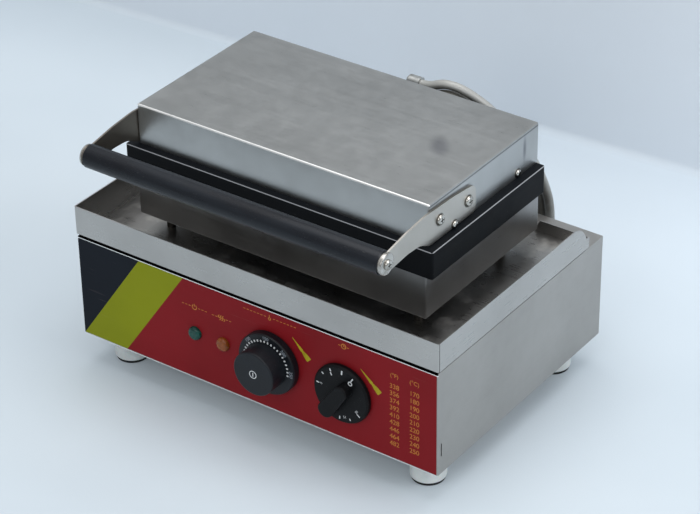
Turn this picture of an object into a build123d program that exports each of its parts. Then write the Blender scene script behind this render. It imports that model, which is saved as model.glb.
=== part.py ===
from build123d import *
from math import pi
import os

os.makedirs("parts", exist_ok=True)

# Frame: X across the front, Y from front to back, Z up from the table.
# The origin is under the middle of the cabinet, and all lengths are millimetres.

# Cabinet, tray and front overlay
cabinetWidth = 440.0
cabinetDepth = 300.0
cabinetBottom = 34.0
cabinetTop = 152.0
sheet = 1.2
flange = 12.0
trayOverhang = 1.5
trayFrontGap = 0.2
trayJoggle = 154.6
trayFootInset = 1.2
trayRim = 186.4
trayRearY = 119.5
trayRearTop = 166.5
trayCornerStart = 88.0
trayCornerRadius = 26.5
trayNotchBottomX = 157.0
trayNotchTopX = 165.0
overlayThickness = 0.6
overlayHalfWidth = 219.1
overlayZ = (36.0, 149.5)
slitY = (-143.8, -142.2)
slitZ = (54.0, 69.0)
footHeight = cabinetBottom + sheet
padHeight = 3.0
footRadius = 18.5

# Cooking unit
housingHalfWidth = 174.7
housingY = (-103.0, 97.0)
housingBottom = 171.5
plateHalfWidth = 185.0
plateY = (-107.5, 91.0)
lowerRim = 221.0
parting = 236.0
upperRim = 251.0
plateBodyHalfWidth = 160.0
plateBodyY = (-92.0, 76.0)
plateBodyBottom = 206.0
coverY = (-98.2, 93.7)
coverTop = 295.0
coverSheet = 1.0
grooveCount = 8
groovePitch = 40.0
grooveLength = 150.0
grooveRadius = 11.5
fluteCount = 6
fluteRadius = 2.4
heaterRadius = 4.0
clampSheet = 2.0

# Hinge of the lid
hingeX = 145.0
hingeY = 112.0
hingeZ = 236.0
pinRadius = 4.0
runningGap = 0.05
earGap = 7.0
earThickness = 3.0

# Handle
handleY = -172.0
handleZ = 270.6
handleRadius = 12.2
armThickness = 2.0
discRadius = 11.2
discThickness = 2.5

# Dials and lamps on the front
temperatureX = 24.9
temperatureZ = 93.9
timerX = 112.3
timerZ = 90.7
spindleRadius = 3.0
thermostatDepth = 32.0
timerDepth = 40.0
spindleTip = -166.5
knobFront = -181.0
lampZ = 90.5
greenLampX = -70.0
orangeLampX = -34.6

# Conduits from the base to the lid, as the corners of their routes
conduitRadius = 4.75
lidFittingX = (9.0, 24.0)
lidFittingZ = 278.5
baseFittingX = 135.25
baseFittingZ = (93.0, 113.0)
baseFittingY = (171.5, 185.5)
outerRoute = [
    (24, 111, 284), (34, 111, 284), (50, 112.5, 291.5), (66, 115.5, 290.5),
    (80.5, 121, 282.5), (95.5, 128, 270), (108, 137, 252), (121.5, 148, 229),
    (133, 159, 202), (138.5, 170, 173), (140.5, 178.5, 143), (140.5, 178.5, 113),
]
innerRoute = [
    (24, 111, 273), (34, 111, 273), (49, 112.5, 280), (63, 115.5, 279.3),
    (75.5, 121, 271.5), (88, 128, 259), (98.5, 137, 242), (110.5, 148, 220),
    (122.5, 159, 195), (127.5, 169.5, 169), (130, 178.5, 143), (130, 178.5, 113),
]

# Values that follow from the sizes above
halfWidth = cabinetWidth / 2
halfDepth = cabinetDepth / 2
frontY = -halfDepth
innerX = halfWidth - sheet
innerFront = frontY + sheet
floorTop = cabinetBottom + 2 * sheet
trayFloor = cabinetTop + sheet
coverInnerX = housingHalfWidth - coverSheet
armFace = housingHalfWidth + armThickness
standoffRadius = 4.6
standoffSpots = [(x, y) for x in (-152.0, 152.0) for y in (-82.0, 64.0)]
clampSpots = [(-100.0, -20.0), (100.0, -20.0), (0.0, -45.0), (0.0, 42.5)]
lowerScrewY = (-62.0, 52.0)
lowerScrewZ = 215.0
lidScrewY = (-58.0, 56.0)
lidScrewZ = 255.6
armBoltSpots = [(-34.6, 269.6), (-82.7, 273.0)]
footSpots = [(x, y) for x in (-186.7, 186.7) for y in (-115.2, 115.2)]
plateScrewSpots = [(x, y) for x in (-212.8, 212.8) for y in (-75.0, 0.0, 75.0)]
panelScrewSpots = [(x, z) for x in (-212.8, 212.8) for z in (60.0, 93.0, 126.0)]
dialSpots = [(temperatureX, temperatureZ), (timerX, timerZ)]
lampSpots = [(greenLampX, lampZ), (orangeLampX, lampZ)]
glandX = -150.0
glandZ = 70.0


# Small helpers
def block(x0, x1, y0, y1, z0, z1):
    return Pos((x0 + x1) / 2, (y0 + y1) / 2, (z0 + z1) / 2) * Box(x1 - x0, y1 - y0, z1 - z0)


def rod(start, end, radius):
    run = Vector(*end) - Vector(*start)
    return extrude(Plane(origin=start, z_dir=run) * Circle(radius), run.length)


def tube(start, end, radius, bore):
    return rod(start, end, radius) - rod(start, end, bore)


def hex_nut(start, end, radius, bore):
    run = Vector(*end) - Vector(*start)
    shape = RegularPolygon(radius, 6) - Circle(bore)
    return extrude(Plane(origin=start, z_dir=run) * shape, run.length)


def group(solids):
    return Compound(children=list(solids))


def side_plate(face, x0, x1):
    # A plate across X from a face drawn in (y, z)
    return Pos(x0, 0, 0) * extrude(Plane.YZ * face, x1 - x0)


def front_hole(x, z, radius):
    return rod((x, frontY - 3, z), (x, frontY + 3, z), radius)


def dome_screw(base, out, headRadius, headHeight, shankRadius, shankLength):
    # Dome head with a cross recess on the outside, and the shank behind it
    start = Vector(*base)
    way = Vector(*out)
    tip = start + way * headHeight
    head = rod(start, tip, headRadius)
    head = fillet(head.edges().sort_by(Axis(base, out))[-1], headHeight * 0.75)
    shank = rod(start - way * shankLength, start, shankRadius)
    slot = Rectangle(headRadius * 1.1, headRadius * 0.22) + Rectangle(headRadius * 0.22, headRadius * 1.1)
    recess = extrude(Plane(origin=tip, z_dir=way * -1) * slot, headHeight * 0.6)
    return head + shank - recess


def swept_bar(route, radius, radii):
    path = FilletPolyline(*route, radius=radii)
    bar = sweep(Plane(origin=path @ 0, z_dir=path % 0) * Circle(radius), path=path)
    wanted = pi * radius ** 2 * path.length
    print("bar length", round(path.length, 1), "volume ratio", round(bar.volume / wanted, 4))
    return bar


def cord_radii(route):
    # The largest arc that the two runs at each corner allow
    radii = []
    for before, corner, after in zip(route, route[1:], route[2:]):
        first = Vector(*corner) - Vector(*before)
        second = Vector(*after) - Vector(*corner)
        turn = first.get_angle(second)
        reach = 0.45 * min(first.length, second.length)
        radii.append(reach / tan_half(turn))
    print("corner radii", [round(radius) for radius in radii])
    return radii


def tan_half(turn):
    half = Vector(1, 0, 0).rotate(Axis.Z, turn / 2)
    return half.Y / half.X


# Cabinet, its floor and its rear
def cabinet_shell():
    body = block(-halfWidth, halfWidth, frontY, halfDepth, cabinetBottom, cabinetTop)
    body = fillet(body.edges().filter_by(Axis.Z), 0.8)
    body = fillet(body.faces().sort_by(Axis.Z)[-1].edges(), 0.7)
    body -= block(-innerX, innerX, innerFront, halfDepth + 1, cabinetBottom - 1, cabinetTop - sheet)
    for side in (-1, 1):
        x0 = min(side * innerX, side * (innerX - flange))
        x1 = x0 + flange
        body += block(x0, x1, innerFront, halfDepth - sheet, cabinetBottom, cabinetBottom + sheet)
        body += block(x0, x1, halfDepth - 2 * sheet, halfDepth - sheet, cabinetBottom, cabinetTop - sheet)
    body += block(-innerX, innerX, innerFront, innerFront + flange, cabinetBottom, cabinetBottom + sheet)
    for x, z in panelScrewSpots:
        body -= rod((x, 140, z), (x, 149, z), 1.6)
    for x, y in plateScrewSpots:
        body -= rod((x, y, cabinetBottom - 1), (x, y, cabinetBottom + 2), 2.1)
    for x, y in standoffSpots:
        body -= rod((x, y, cabinetTop - 4), (x, y, cabinetTop + 1), 2.7)
    body -= rod((0, 0, cabinetTop - 4), (0, 0, cabinetTop + 1), 8.2)
    for x, z in dialSpots:
        body -= front_hole(x, z, 5.2)
    for x, z in lampSpots:
        body -= front_hole(x, z, 6.2)
    body -= block(innerX - 1, halfWidth + 1, *slitY, *slitZ)
    return body


def control_overlay():
    front = block(-overlayHalfWidth, overlayHalfWidth, frontY - overlayThickness, frontY, *overlayZ)
    for x, z in dialSpots:
        front -= front_hole(x, z, 5.2)
    for x, z in lampSpots:
        front -= front_hole(x, z, 6.2)
    return front


def bottom_plate():
    low = cabinetBottom + sheet
    plate = block(-innerX + 0.2, innerX - 0.2, innerFront + 0.2, halfDepth - 2 * sheet - 0.2, low, floorTop)
    for x in range(-120, 121, 20):
        for y in (-70, 20):
            plate -= block(x - 2, x + 2, y, y + 50, low - 1, floorTop + 1)
    for x, y in footSpots:
        plate -= rod((x, y, low - 1), (x, y, floorTop + 1), 2.7)
    for x, y in plateScrewSpots:
        plate -= rod((x, y, low - 1), (x, y, floorTop + 1), 1.6)
    return plate


def rear_panel():
    y0 = halfDepth - sheet
    panel = block(-innerX + 0.2, innerX - 0.2, y0, halfDepth, cabinetBottom + 0.2, cabinetTop - sheet - 0.2)
    for x in range(-90, 91, 12):
        panel -= block(x - 1.5, x + 1.5, y0 - 1, halfDepth + 1, 60, 100)
    for x, z in panelScrewSpots:
        panel -= rod((x, y0 - 1, z), (x, halfDepth + 1, z), 2.1)
    panel -= rod((glandX, y0 - 1, glandZ), (glandX, halfDepth + 1, glandZ), 8.2)
    fittingZ = sum(baseFittingZ) / 2
    panel -= rod((baseFittingX, y0 - 1, fittingZ), (baseFittingX, halfDepth + 1, fittingZ), 6.2)
    return panel


def cabinet_screws():
    below = [dome_screw((x, y, cabinetBottom), (0, 0, -1), 3.5, 2.0, 1.5, 6.0) for x, y in plateScrewSpots]
    behind = [dome_screw((x, halfDepth, z), (0, 1, 0), 3.5, 2.0, 1.5, 6.0) for x, z in panelScrewSpots]
    return group(below + behind)


# Feet, each a tube leg with a rubber pad pressed over its screw
def feet():
    leg = rod((0, 0, padHeight), (0, 0, footHeight), footRadius)
    leg = fillet(leg.edges().sort_by(Axis.Z)[0], 2.0)
    leg -= rod((0, 0, padHeight), (0, 0, 25), 5.5)
    leg -= rod((0, 0, 25), (0, 0, footHeight), 2.7)
    pad = rod((0, 0, 0), (0, 0, padHeight), footRadius - 1.5)
    pad = fillet(pad.edges().sort_by(Axis.Z)[0], 0.6)
    screw = rod((0, 0, 21.5), (0, 0, 25), 4.5) + rod((0, 0, 25), (0, 0, 43), 2.5)
    pieces = {"feet": leg, "foot_pads": pad, "foot_screws": screw}
    for name, piece in pieces.items():
        export_step(group(Pos(x, y, 0) * piece for x, y in footSpots), "parts/" + name + ".step")


# Tray between the cabinet and the cooking unit
def drip_tray():
    # The pan's foot is set in a little, so that the walls stand clear of the cabinet's edge
    outerX = halfWidth + trayOverhang
    outerFront = frontY - trayFrontGap
    footX = halfWidth - trayFootInset
    footFront = frontY + trayFootInset
    tray = block(-outerX, outerX, outerFront, trayRearY, trayJoggle, trayRim)
    tray = fillet(tray.edges().filter_by(Axis.Z).group_by(Axis.Y)[0], 1.6)
    tray += block(-footX, footX, footFront, trayRearY, cabinetTop, trayJoggle)
    tray -= block(-footX + sheet, footX - sheet, footFront + sheet, trayRearY - sheet, trayFloor, trayRim + 1)
    inside = (outerFront + sheet, trayRearY - sheet)
    tray -= block(-outerX + sheet, outerX - sheet, *inside, trayJoggle + sheet, trayRim + 1)
    corner = block(-outerX - 1, outerX + 1, trayCornerStart, trayRearY + 1, trayRearTop, trayRim + 1)
    arcZ = trayRim - trayCornerRadius
    corner -= rod((-outerX - 2, trayCornerStart, arcZ), (outerX + 2, trayCornerStart, arcZ), trayCornerRadius)
    tray -= corner
    notch = Polyline(
        (-trayNotchBottomX, trayFloor), (trayNotchBottomX, trayFloor),
        (trayNotchTopX, trayRearTop + 1), (-trayNotchTopX, trayRearTop + 1), close=True,
    )
    tray -= Pos(0, trayRearY + 2, 0) * extrude(Plane.XZ * make_face(notch), 6)
    for x, y in standoffSpots:
        tray -= rod((x, y, cabinetTop - 1), (x, y, trayFloor + 1), 2.7)
    tray -= rod((0, 0, cabinetTop - 1), (0, 0, trayFloor + 1), 8.2)
    return tray


def housing_mounting():
    spacer = tube((0, 0, trayFloor), (0, 0, housingBottom), standoffRadius, 2.7)
    top = cabinetTop - sheet
    screw = rod((0, 0, top - 3), (0, 0, top), 4.5) + rod((0, 0, top), (0, 0, 178), 2.5)
    pieces = {"housing_standoffs": spacer, "standoff_screws": screw}
    for name, piece in pieces.items():
        export_step(group(Pos(x, y, 0) * piece for x, y in standoffSpots), "parts/" + name + ".step")


def base_nuts():
    # The nuts of the foot screws and of the standoff screws
    nut = hex_nut((0, 0, 0), (0, 0, 4), 4.6, 2.55)
    onFloor = [Pos(x, y, floorTop) * nut for x, y in footSpots]
    inHousing = [Pos(x, y, housingBottom + coverSheet) * nut for x, y in standoffSpots]
    return group(onFloor + inHousing)


def wiring_sleeve():
    sleeve = rod((0, 0, 147), (0, 0, 176), 8.0) + rod((0, 0, trayFloor), (0, 0, trayFloor + 2), 12.0)
    return sleeve - rod((0, 0, 146), (0, 0, 177), 6.5)


# Lower housing and the two mould plates
def lower_housing():
    body = block(-housingHalfWidth, housingHalfWidth, *housingY, housingBottom, lowerRim)
    body = fillet(body.edges().filter_by(Axis.Z), 1.5)
    body = fillet(body.faces().sort_by(Axis.Z)[0].edges(), 1.4)
    inside = (housingY[0] + coverSheet, housingY[1] - coverSheet)
    body -= block(-coverInnerX, coverInnerX, *inside, housingBottom + coverSheet, lowerRim + 1)
    for x, y in standoffSpots:
        body -= rod((x, y, housingBottom - 1), (x, y, housingBottom + 2), 2.7)
    body -= rod((0, 0, housingBottom - 1), (0, 0, housingBottom + 2), 8.2)
    for side in (-1, 1):
        for y in lowerScrewY:
            body -= rod((side * 170, y, lowerScrewZ), (side * 180, y, lowerScrewZ), 2.1)
        for z in (191, 210):
            body -= rod((side * hingeX, 90, z), (side * hingeX, 99, z), 2.1)
    return body


def groove_cutter():
    # One churro: a half-round bar with flutes along it and rounded ends
    length = grooveLength - 2 * grooveRadius
    section = Circle(grooveRadius)
    for index in range(fluteCount):
        angle = -180 + 180 / fluteCount * (index + 0.5)
        section += Rot(0, 0, angle) * Pos(grooveRadius, 0) * Circle(fluteRadius)
    bar = Pos(0, length / 2, 0) * extrude(Plane.XZ * section, length)
    for end in (-length / 2, length / 2):
        bar += Pos(0, end, 0) * Sphere(grooveRadius)
    return bar


def mould_plate(screwY, screwZ):
    rim = block(-plateHalfWidth, plateHalfWidth, *plateY, lowerRim, parting)
    rim = fillet(rim.edges().filter_by(Axis.Z), 3.0)
    rim = fillet(rim.faces().sort_by(Axis.Z)[0].edges(), 1.0)
    plate = rim + block(-plateBodyHalfWidth, plateBodyHalfWidth, *plateBodyY, plateBodyBottom, lowerRim)
    for side in (-1, 1):
        x0 = min(side * (plateBodyHalfWidth - 2), side * coverInnerX)
        x1 = max(side * (plateBodyHalfWidth - 2), side * coverInnerX)
        for y in screwY:
            plate += block(x0, x1, y - 8, y + 8, lowerRim - 12, lowerRim)
            plate -= rod((side * 162, y, screwZ), (side * 175, y, screwZ), 1.55)
    for x, y in clampSpots:
        plate -= rod((x, y, plateBodyBottom - 1), (x, y, 217), 2.55)
    plate -= rod((0, 0, plateBodyBottom - 1), (0, 0, 215), 3.2)
    churro = groove_cutter()
    middle = (plateY[0] + plateY[1]) / 2
    for index in range(grooveCount):
        x = (index - (grooveCount - 1) / 2) * groovePitch
        plate -= Pos(x, middle, parting) * churro
    return plate


def heater():
    z = plateBodyBottom - heaterRadius - 0.1
    corners = [
        (-12, 60), (-140, 60), (-140, -70), (-60, -70), (-60, 25),
        (60, 25), (60, -70), (140, -70), (140, 60), (12, 60),
    ]
    route = [(x, y, z) for x, y in corners]
    return swept_bar(route, heaterRadius, [14.0] * (len(route) - 2))


def clamp_plate():
    top = plateBodyBottom - 2 * heaterRadius - 0.2
    plate = block(-150, 150, -80, 70, top - clampSheet, top)
    for x, y in clampSpots:
        plate -= rod((x, y, top - 3), (x, y, top + 1), 2.7)
    return plate - rod((0, 0, top - 3), (0, 0, top + 1), 5.0)


def clamp_bolts():
    seat = plateBodyBottom - 2 * heaterRadius - 0.2 - clampSheet
    bolt = rod((0, 0, seat - 3.5), (0, 0, seat), 4.5) + rod((0, 0, seat), (0, 0, 216), 2.5)
    return group(Pos(x, y, 0) * bolt for x, y in clampSpots)


def heating_stack():
    # The upper plate, heater, clamp and bolts are the lower ones turned over at the parting face
    over = Plane.XY.offset(parting)
    stack = {"heater": heater(), "clamp_plate": clamp_plate(), "clamp_bolts": clamp_bolts()}
    for name, shape in stack.items():
        export_step(shape, "parts/lower_" + name + ".step")
        export_step(mirror(shape, about=over), "parts/upper_" + name + ".step")
    export_step(mould_plate(lowerScrewY, lowerScrewZ), "parts/lower_mould_plate.step")
    upper = mirror(mould_plate(lidScrewY, 2 * parting - lidScrewZ), about=over)
    export_step(upper, "parts/upper_mould_plate.step")


def lower_insulation():
    blanket = block(-165, 165, -95, 88, housingBottom + coverSheet, 191.5)
    for x, y in standoffSpots:
        blanket -= rod((x, y, 172), (x, y, 180), 6.0)
    blanket -= rod((0, 0, 172), (0, 0, 192), 9.0)
    return blanket


def thermostat_bulb():
    # Sensing bulb in the lower plate, and its capillary down through the sleeve
    start = innerFront + thermostatDepth
    z = temperatureZ
    route = [(temperatureX, start, z), (temperatureX, -60, z), (0, 0, z), (0, 0, 190)]
    capillary = swept_bar(route, 1.0, [40.0, 25.0])
    return capillary + rod((0, 0, 190), (0, 0, 214), 3.0)


# Lid
def lid_cover():
    body = block(-housingHalfWidth, housingHalfWidth, *coverY, upperRim, coverTop)
    body = fillet(body.edges().filter_by(Axis.Z), 2.0)
    body = fillet(body.faces().sort_by(Axis.Z)[-1].edges(), 1.6)
    inside = (coverY[0] + coverSheet, coverY[1] - coverSheet)
    body -= block(-coverInnerX, coverInnerX, *inside, upperRim - 1, coverTop - coverSheet)
    for side in (-1, 1):
        for y in lidScrewY:
            body -= rod((side * 170, y, lidScrewZ), (side * 180, y, lidScrewZ), 2.1)
        for y, z in armBoltSpots:
            body -= rod((side * 170, y, z), (side * 180, y, z), 2.7)
        for offset in (-13.5, 13.5):
            x = side * hingeX + offset
            body -= rod((x, 90, 274), (x, 96, 274), 2.1)
    body -= rod((sum(lidFittingX) / 2, 90, lidFittingZ), (sum(lidFittingX) / 2, 96, lidFittingZ), 6.2)
    return body


def upper_insulation():
    return block(-160, 160, -88, 80, 281, coverTop - coverSheet)


def side_screws(spots, screwZ):
    # Screws in both sides, at (x, y) spots given for the right side
    ends = [((side * x, y, screwZ), (side, 0, 0)) for side in (-1, 1) for x, y in spots]
    return group(dome_screw(*end, 4.1, 2.6, 1.5, 9.0) for end in ends)


# Hinges: an eared bracket on the housing and a cast arm on the lid, twice
def hinge_bracket():
    x0 = hingeX - earGap - earThickness
    x1 = hingeX + earGap + earThickness
    outline = Polyline((98, 188), (98, 218), (103, 240.4), (hingeY, hingeZ), (120.9, 231.5), close=True)
    ear = make_face(outline) + Pos(hingeY, hingeZ) * Circle(10)
    bracket = block(x0, x1, housingY[1], housingY[1] + 3, 182, 219)
    for low in (x0, x1 - earThickness):
        bracket += side_plate(ear, low, low + earThickness)
    bracket -= rod((x0 - 1, hingeY, hingeZ), (x1 + 1, hingeY, hingeZ), pinRadius + runningGap)
    for z in (191, 210):
        bracket -= rod((hingeX, 96, z), (hingeX, 101, z), 2.1)
    return bracket


def hinge_arm():
    x0 = hingeX - earGap + 0.3
    x1 = hingeX + earGap - 0.3
    corners = [(96, 262), (96, 284), (106, 272), (121.2, 238.2), (hingeY, hingeZ), (102.9, 233.3)]
    web = make_face(Polyline(*corners, close=True)) + Pos(hingeY, hingeZ) * Circle(9.5)
    arm = side_plate(web, x0, x1) + block(hingeX - 18, hingeX + 18, coverY[1], coverY[1] + 3, 262, 286)
    arm -= rod((x0 - 1, hingeY, hingeZ), (x1 + 1, hingeY, hingeZ), pinRadius + runningGap)
    for offset in (-13.5, 13.5):
        arm -= rod((hingeX + offset, 93, 274), (hingeX + offset, 98, 274), 2.1)
    return arm


def hinge_pin():
    reach = earGap + earThickness
    shank = rod((hingeX - reach - 3, hingeY, hingeZ), (hingeX + reach, hingeY, hingeZ), pinRadius)
    return shank + rod((hingeX + reach, hingeY, hingeZ), (hingeX + reach + 2.5, hingeY, hingeZ), 6.5)


def hinge_clip():
    start = hingeX - earGap - earThickness
    return tube((start - 1.5, hingeY, hingeZ), (start - 0.5, hingeY, hingeZ), 6.5, pinRadius + runningGap)


def hinges():
    baseScrews = [dome_screw((hingeX, 100, z), (0, 1, 0), 3.8, 2.0, 1.7, 9.0) for z in (191, 210)]
    lidScrews = [dome_screw((hingeX + dx, 96.7, 274), (0, 1, 0), 3.8, 2.0, 1.7, 9.0) for dx in (-13.5, 13.5)]
    pieces = {
        "hinge_brackets": [hinge_bracket()],
        "hinge_arms": [hinge_arm()],
        "hinge_pins": [hinge_pin()],
        "hinge_pin_clips": [hinge_clip()],
        "hinge_bracket_screws": baseScrews,
        "hinge_arm_screws": lidScrews,
    }
    for name, solids in pieces.items():
        both = solids + [mirror(solid, about=Plane.YZ) for solid in solids]
        export_step(group(both), "parts/" + name + ".step")


# Handle: two steel arms, a bar between them, end discs, screws and bolts
def handle_arm():
    corners = [
        (-170, 279.8, 0), (-136, 285.6, 60), (-106, 288.4, 60), (-60, 286.6, 60), (-21.6, 282.4, 9),
        (-21.8, 252.5, 5), (-99, 252.5, 12), (-116, 261, 25), (-136, 262, 40), (-170, 259.0, 0),
    ]
    points = [(y, z) for y, z, _ in corners]
    radii = [radius for _, _, radius in corners[1:-1]]
    line = FilletPolyline(*points, radius=radii)
    face = make_face(line + Line(points[-1], points[0])) + Pos(handleY, handleZ) * Circle(discRadius - 0.6)
    arm = side_plate(face, housingHalfWidth, armFace)
    for y, z in armBoltSpots:
        arm -= rod((housingHalfWidth - 1, y, z), (armFace + 1, y, z), 2.7)
    arm -= rod((housingHalfWidth - 1, lidScrewY[0], lidScrewZ), (armFace + 1, lidScrewY[0], lidScrewZ), 2.1)
    return arm - rod((housingHalfWidth - 1, handleY, handleZ), (armFace + 1, handleY, handleZ), 2.7)


def handle():
    left = (-housingHalfWidth, handleY, handleZ)
    right = (housingHalfWidth, handleY, handleZ)
    bar = rod(left, right, handleRadius)
    bar = chamfer(bar.edges(), 0.5)
    for side in (-1, 1):
        bar -= rod((side * 145, handleY, handleZ), (side * housingHalfWidth, handleY, handleZ), 2.6)
    export_step(bar, "parts/handle_bar.step")
    arm = handle_arm()
    export_step(arm, "parts/handle_arm_right.step")
    export_step(mirror(arm, about=Plane.YZ), "parts/handle_arm_left.step")
    discFace = armFace + discThickness
    disc = rod((armFace, handleY, handleZ), (discFace, handleY, handleZ), discRadius)
    disc = fillet(disc.edges().sort_by(Axis.X)[-1], 1.2)
    disc -= rod((armFace - 1, handleY, handleZ), (discFace + 1, handleY, handleZ), 2.7)
    screw = dome_screw((discFace, handleY, handleZ), (1, 0, 0), 5.2, 2.6, 2.5, 32.0)
    export_step(group([disc, mirror(disc, about=Plane.YZ)]), "parts/handle_end_discs.step")
    export_step(group([screw, mirror(screw, about=Plane.YZ)]), "parts/handle_screws.step")
    bolts = [dome_screw((armFace, y, z), (1, 0, 0), 5.5, 3.0, 2.5, 10.0) for y, z in armBoltSpots]
    nuts = [hex_nut((coverInnerX - 4, y, z), (coverInnerX, y, z), 4.6, 2.55) for y, z in armBoltSpots]
    export_step(group(bolts + [mirror(bolt, about=Plane.YZ) for bolt in bolts]), "parts/arm_bolts.step")
    export_step(group(nuts + [mirror(nut, about=Plane.YZ) for nut in nuts]), "parts/arm_nuts.step")


# Dials, their spindles and what they turn
def turned(points, x, z):
    # A body of revolution about a front-to-back axis, from (radius, y) points
    return Pos(x, 0, z) * revolve(make_face(Polyline(*points, close=True)), Axis.Y)


def temperature_knob():
    skirt = [(0, -151.8), (34, -151.8), (34, -158.6), (33.2, -160.2)]
    points = skirt + [(24.2, -160.2), (24, knobFront), (0, knobFront)]
    knob = turned(points, temperatureX, temperatureZ)
    knob = fillet(knob.edges().sort_by(Axis.Y)[0], 1.6)
    return knob - spindle_bore(temperatureX, temperatureZ)


def timer_knob():
    skirt = turned([(0, -151.8), (32.3, -151.8), (32.3, -155.2), (30.6, -157.4), (0, -157.4)], timerX, timerZ)
    pointer = Pos(-11.4, -16.2) * Circle(8.6)
    tail = Pos(6.6, 9.4) * Circle(7.6)
    grip = extrude(Plane.XZ * make_hull(pointer.edges() + tail.edges()), 11.6)
    grip = fillet(grip.faces().sort_by(Axis.Y)[0].edges(), 1.6)
    return skirt + Pos(timerX, -156.4, timerZ) * grip - spindle_bore(timerX, timerZ)


def spindle_bore(x, z):
    return rod((x, -151, z), (x, spindleTip - 0.3, z), spindleRadius + runningGap)


def dial_control(x, z, half, depth):
    # Control body behind the front, with its bushing and the bore of its spindle
    back = innerFront + depth
    body = block(x - half, x + half, innerFront, back, z - half, z + half)
    body += rod((x, frontY - 1, z), (x, innerFront, z), 5.0)
    for side in (-1, 1):
        body += block(x + side * half / 2 - 3, x + side * half / 2 + 3, back, back + 7, z - 14, z - 13.2)
    return body - rod((x, frontY - 2, z), (x, innerFront + 20, z), spindleRadius + runningGap)


def spindle(x, z):
    return rod((x, spindleTip, z), (x, innerFront + 19.5, z), spindleRadius)


# Lamps
def lamp_lens(x):
    lens = rod((x, frontY - overlayThickness, lampZ), (x, -155.4, lampZ), 7.5)
    return fillet(lens.edges().sort_by(Axis.Y)[0], 3.6)


def lamp_body(x):
    body = rod((x, frontY - overlayThickness, lampZ), (x, -126, lampZ), 6.0)
    for side in (-1, 1):
        body += block(x + side * 3 - 0.4, x + side * 3 + 0.4, -127, -118, lampZ - 3, lampZ + 3)
    return body


def lamps():
    export_step(lamp_lens(greenLampX), "parts/green_lamp_lens.step")
    export_step(lamp_lens(orangeLampX), "parts/orange_lamp_lens.step")
    export_step(group(lamp_body(x) for x, _ in lampSpots), "parts/lamp_bodies.step")
    nuts = [hex_nut((x, innerFront, z), (x, innerFront + 3, z), 9.5, 6.05) for x, z in lampSpots]
    export_step(group(nuts), "parts/lamp_nuts.step")


# Wiring, inlet and the conduits to the lid
def terminal_block():
    body = block(-172, -128, 92, 114, floorTop, 52)
    for x in (-162, -150, -138):
        body -= rod((x, 103, 46), (x, 103, 53), 3.0)
    return body


def cabinet_wiring():
    # One lead from each terminal: to the thermostat, to the timer and to the lamps
    toDial = [(-162, 103, 46), (-162, 103, 80.3), (-162, -60, 80.3), (14, -60, 80.3), (14, -109.8, 80.3)]
    toTimer = [(-150, 103, 46), (-150, 103, 77.1), (-150, -40, 77.1), (99.8, -40, 77.1), (99.8, -101.8, 77.1)]
    toLamp = [(-138, 103, 46), (-138, 103, 68), (-73, 103, 68), (-73, -118, 68), (-73, -118, lampZ - 3)]
    return group(swept_bar(route, 1.2, [9.0, 12.0, 9.0]) for route in (toDial, toTimer, toLamp))


def cable_gland():
    y0 = halfDepth - sheet - 8
    body = rod((glandX, y0, glandZ), (glandX, 160, glandZ), 8.0)
    body += extrude(Plane(origin=(glandX, halfDepth, glandZ), z_dir=(0, 1, 0)) * RegularPolygon(13, 6), 6)
    dome = rod((glandX, 156, glandZ), (glandX, 172, glandZ), 11.0)
    body += fillet(dome.edges().sort_by(Axis.Y)[-1], 3.0)
    return body - rod((glandX, y0 - 1, glandZ), (glandX, 173, glandZ), 4.5)


def lid_conduit_fitting():
    x = sum(lidFittingX) / 2
    body = block(*lidFittingX, 104.5, 117.5, lidFittingZ - 12, lidFittingZ + 12)
    body = fillet(body.edges().filter_by(Axis.X), 5.5)
    body = fillet(body.faces().sort_by(Axis.X)[0].edges(), 2.0)
    body += rod((x, 86, lidFittingZ), (x, 106, lidFittingZ), 6.0)
    return body + rod((x, coverY[1], lidFittingZ), (x, coverY[1] + 3, lidFittingZ), 7.4)


def base_conduit_fitting():
    z = sum(baseFittingZ) / 2
    body = block(baseFittingX - 12.75, baseFittingX + 12.75, *baseFittingY, *baseFittingZ)
    body = fillet(body.edges().filter_by(Axis.Z), 5.5)
    body = fillet(body.faces().sort_by(Axis.Z)[0].edges(), 2.0)
    body += rod((baseFittingX, 142, z), (baseFittingX, 173, z), 6.0)
    return body + rod((baseFittingX, halfDepth, z), (baseFittingX, halfDepth + 3, z), 9.0)


def lock_nuts():
    x = sum(lidFittingX) / 2
    y1 = coverY[1] - coverSheet
    export_step(hex_nut((x, y1 - 4, lidFittingZ), (x, y1, lidFittingZ), 9.0, 6.05), "parts/lid_lock_nut.step")
    z = sum(baseFittingZ) / 2
    y1 = halfDepth - sheet
    onFitting = hex_nut((baseFittingX, y1 - 4, z), (baseFittingX, y1, z), 9.0, 6.05)
    onGland = hex_nut((glandX, y1 - 4, glandZ), (glandX, y1, glandZ), 12.5, 8.05)
    export_step(group([onFitting, onGland]), "parts/panel_lock_nuts.step")


def conduits():
    for name, route in (("conduit_outer", outerRoute), ("conduit_inner", innerRoute)):
        export_step(swept_bar(route, conduitRadius, cord_radii(route)), "parts/" + name + ".step")


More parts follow.
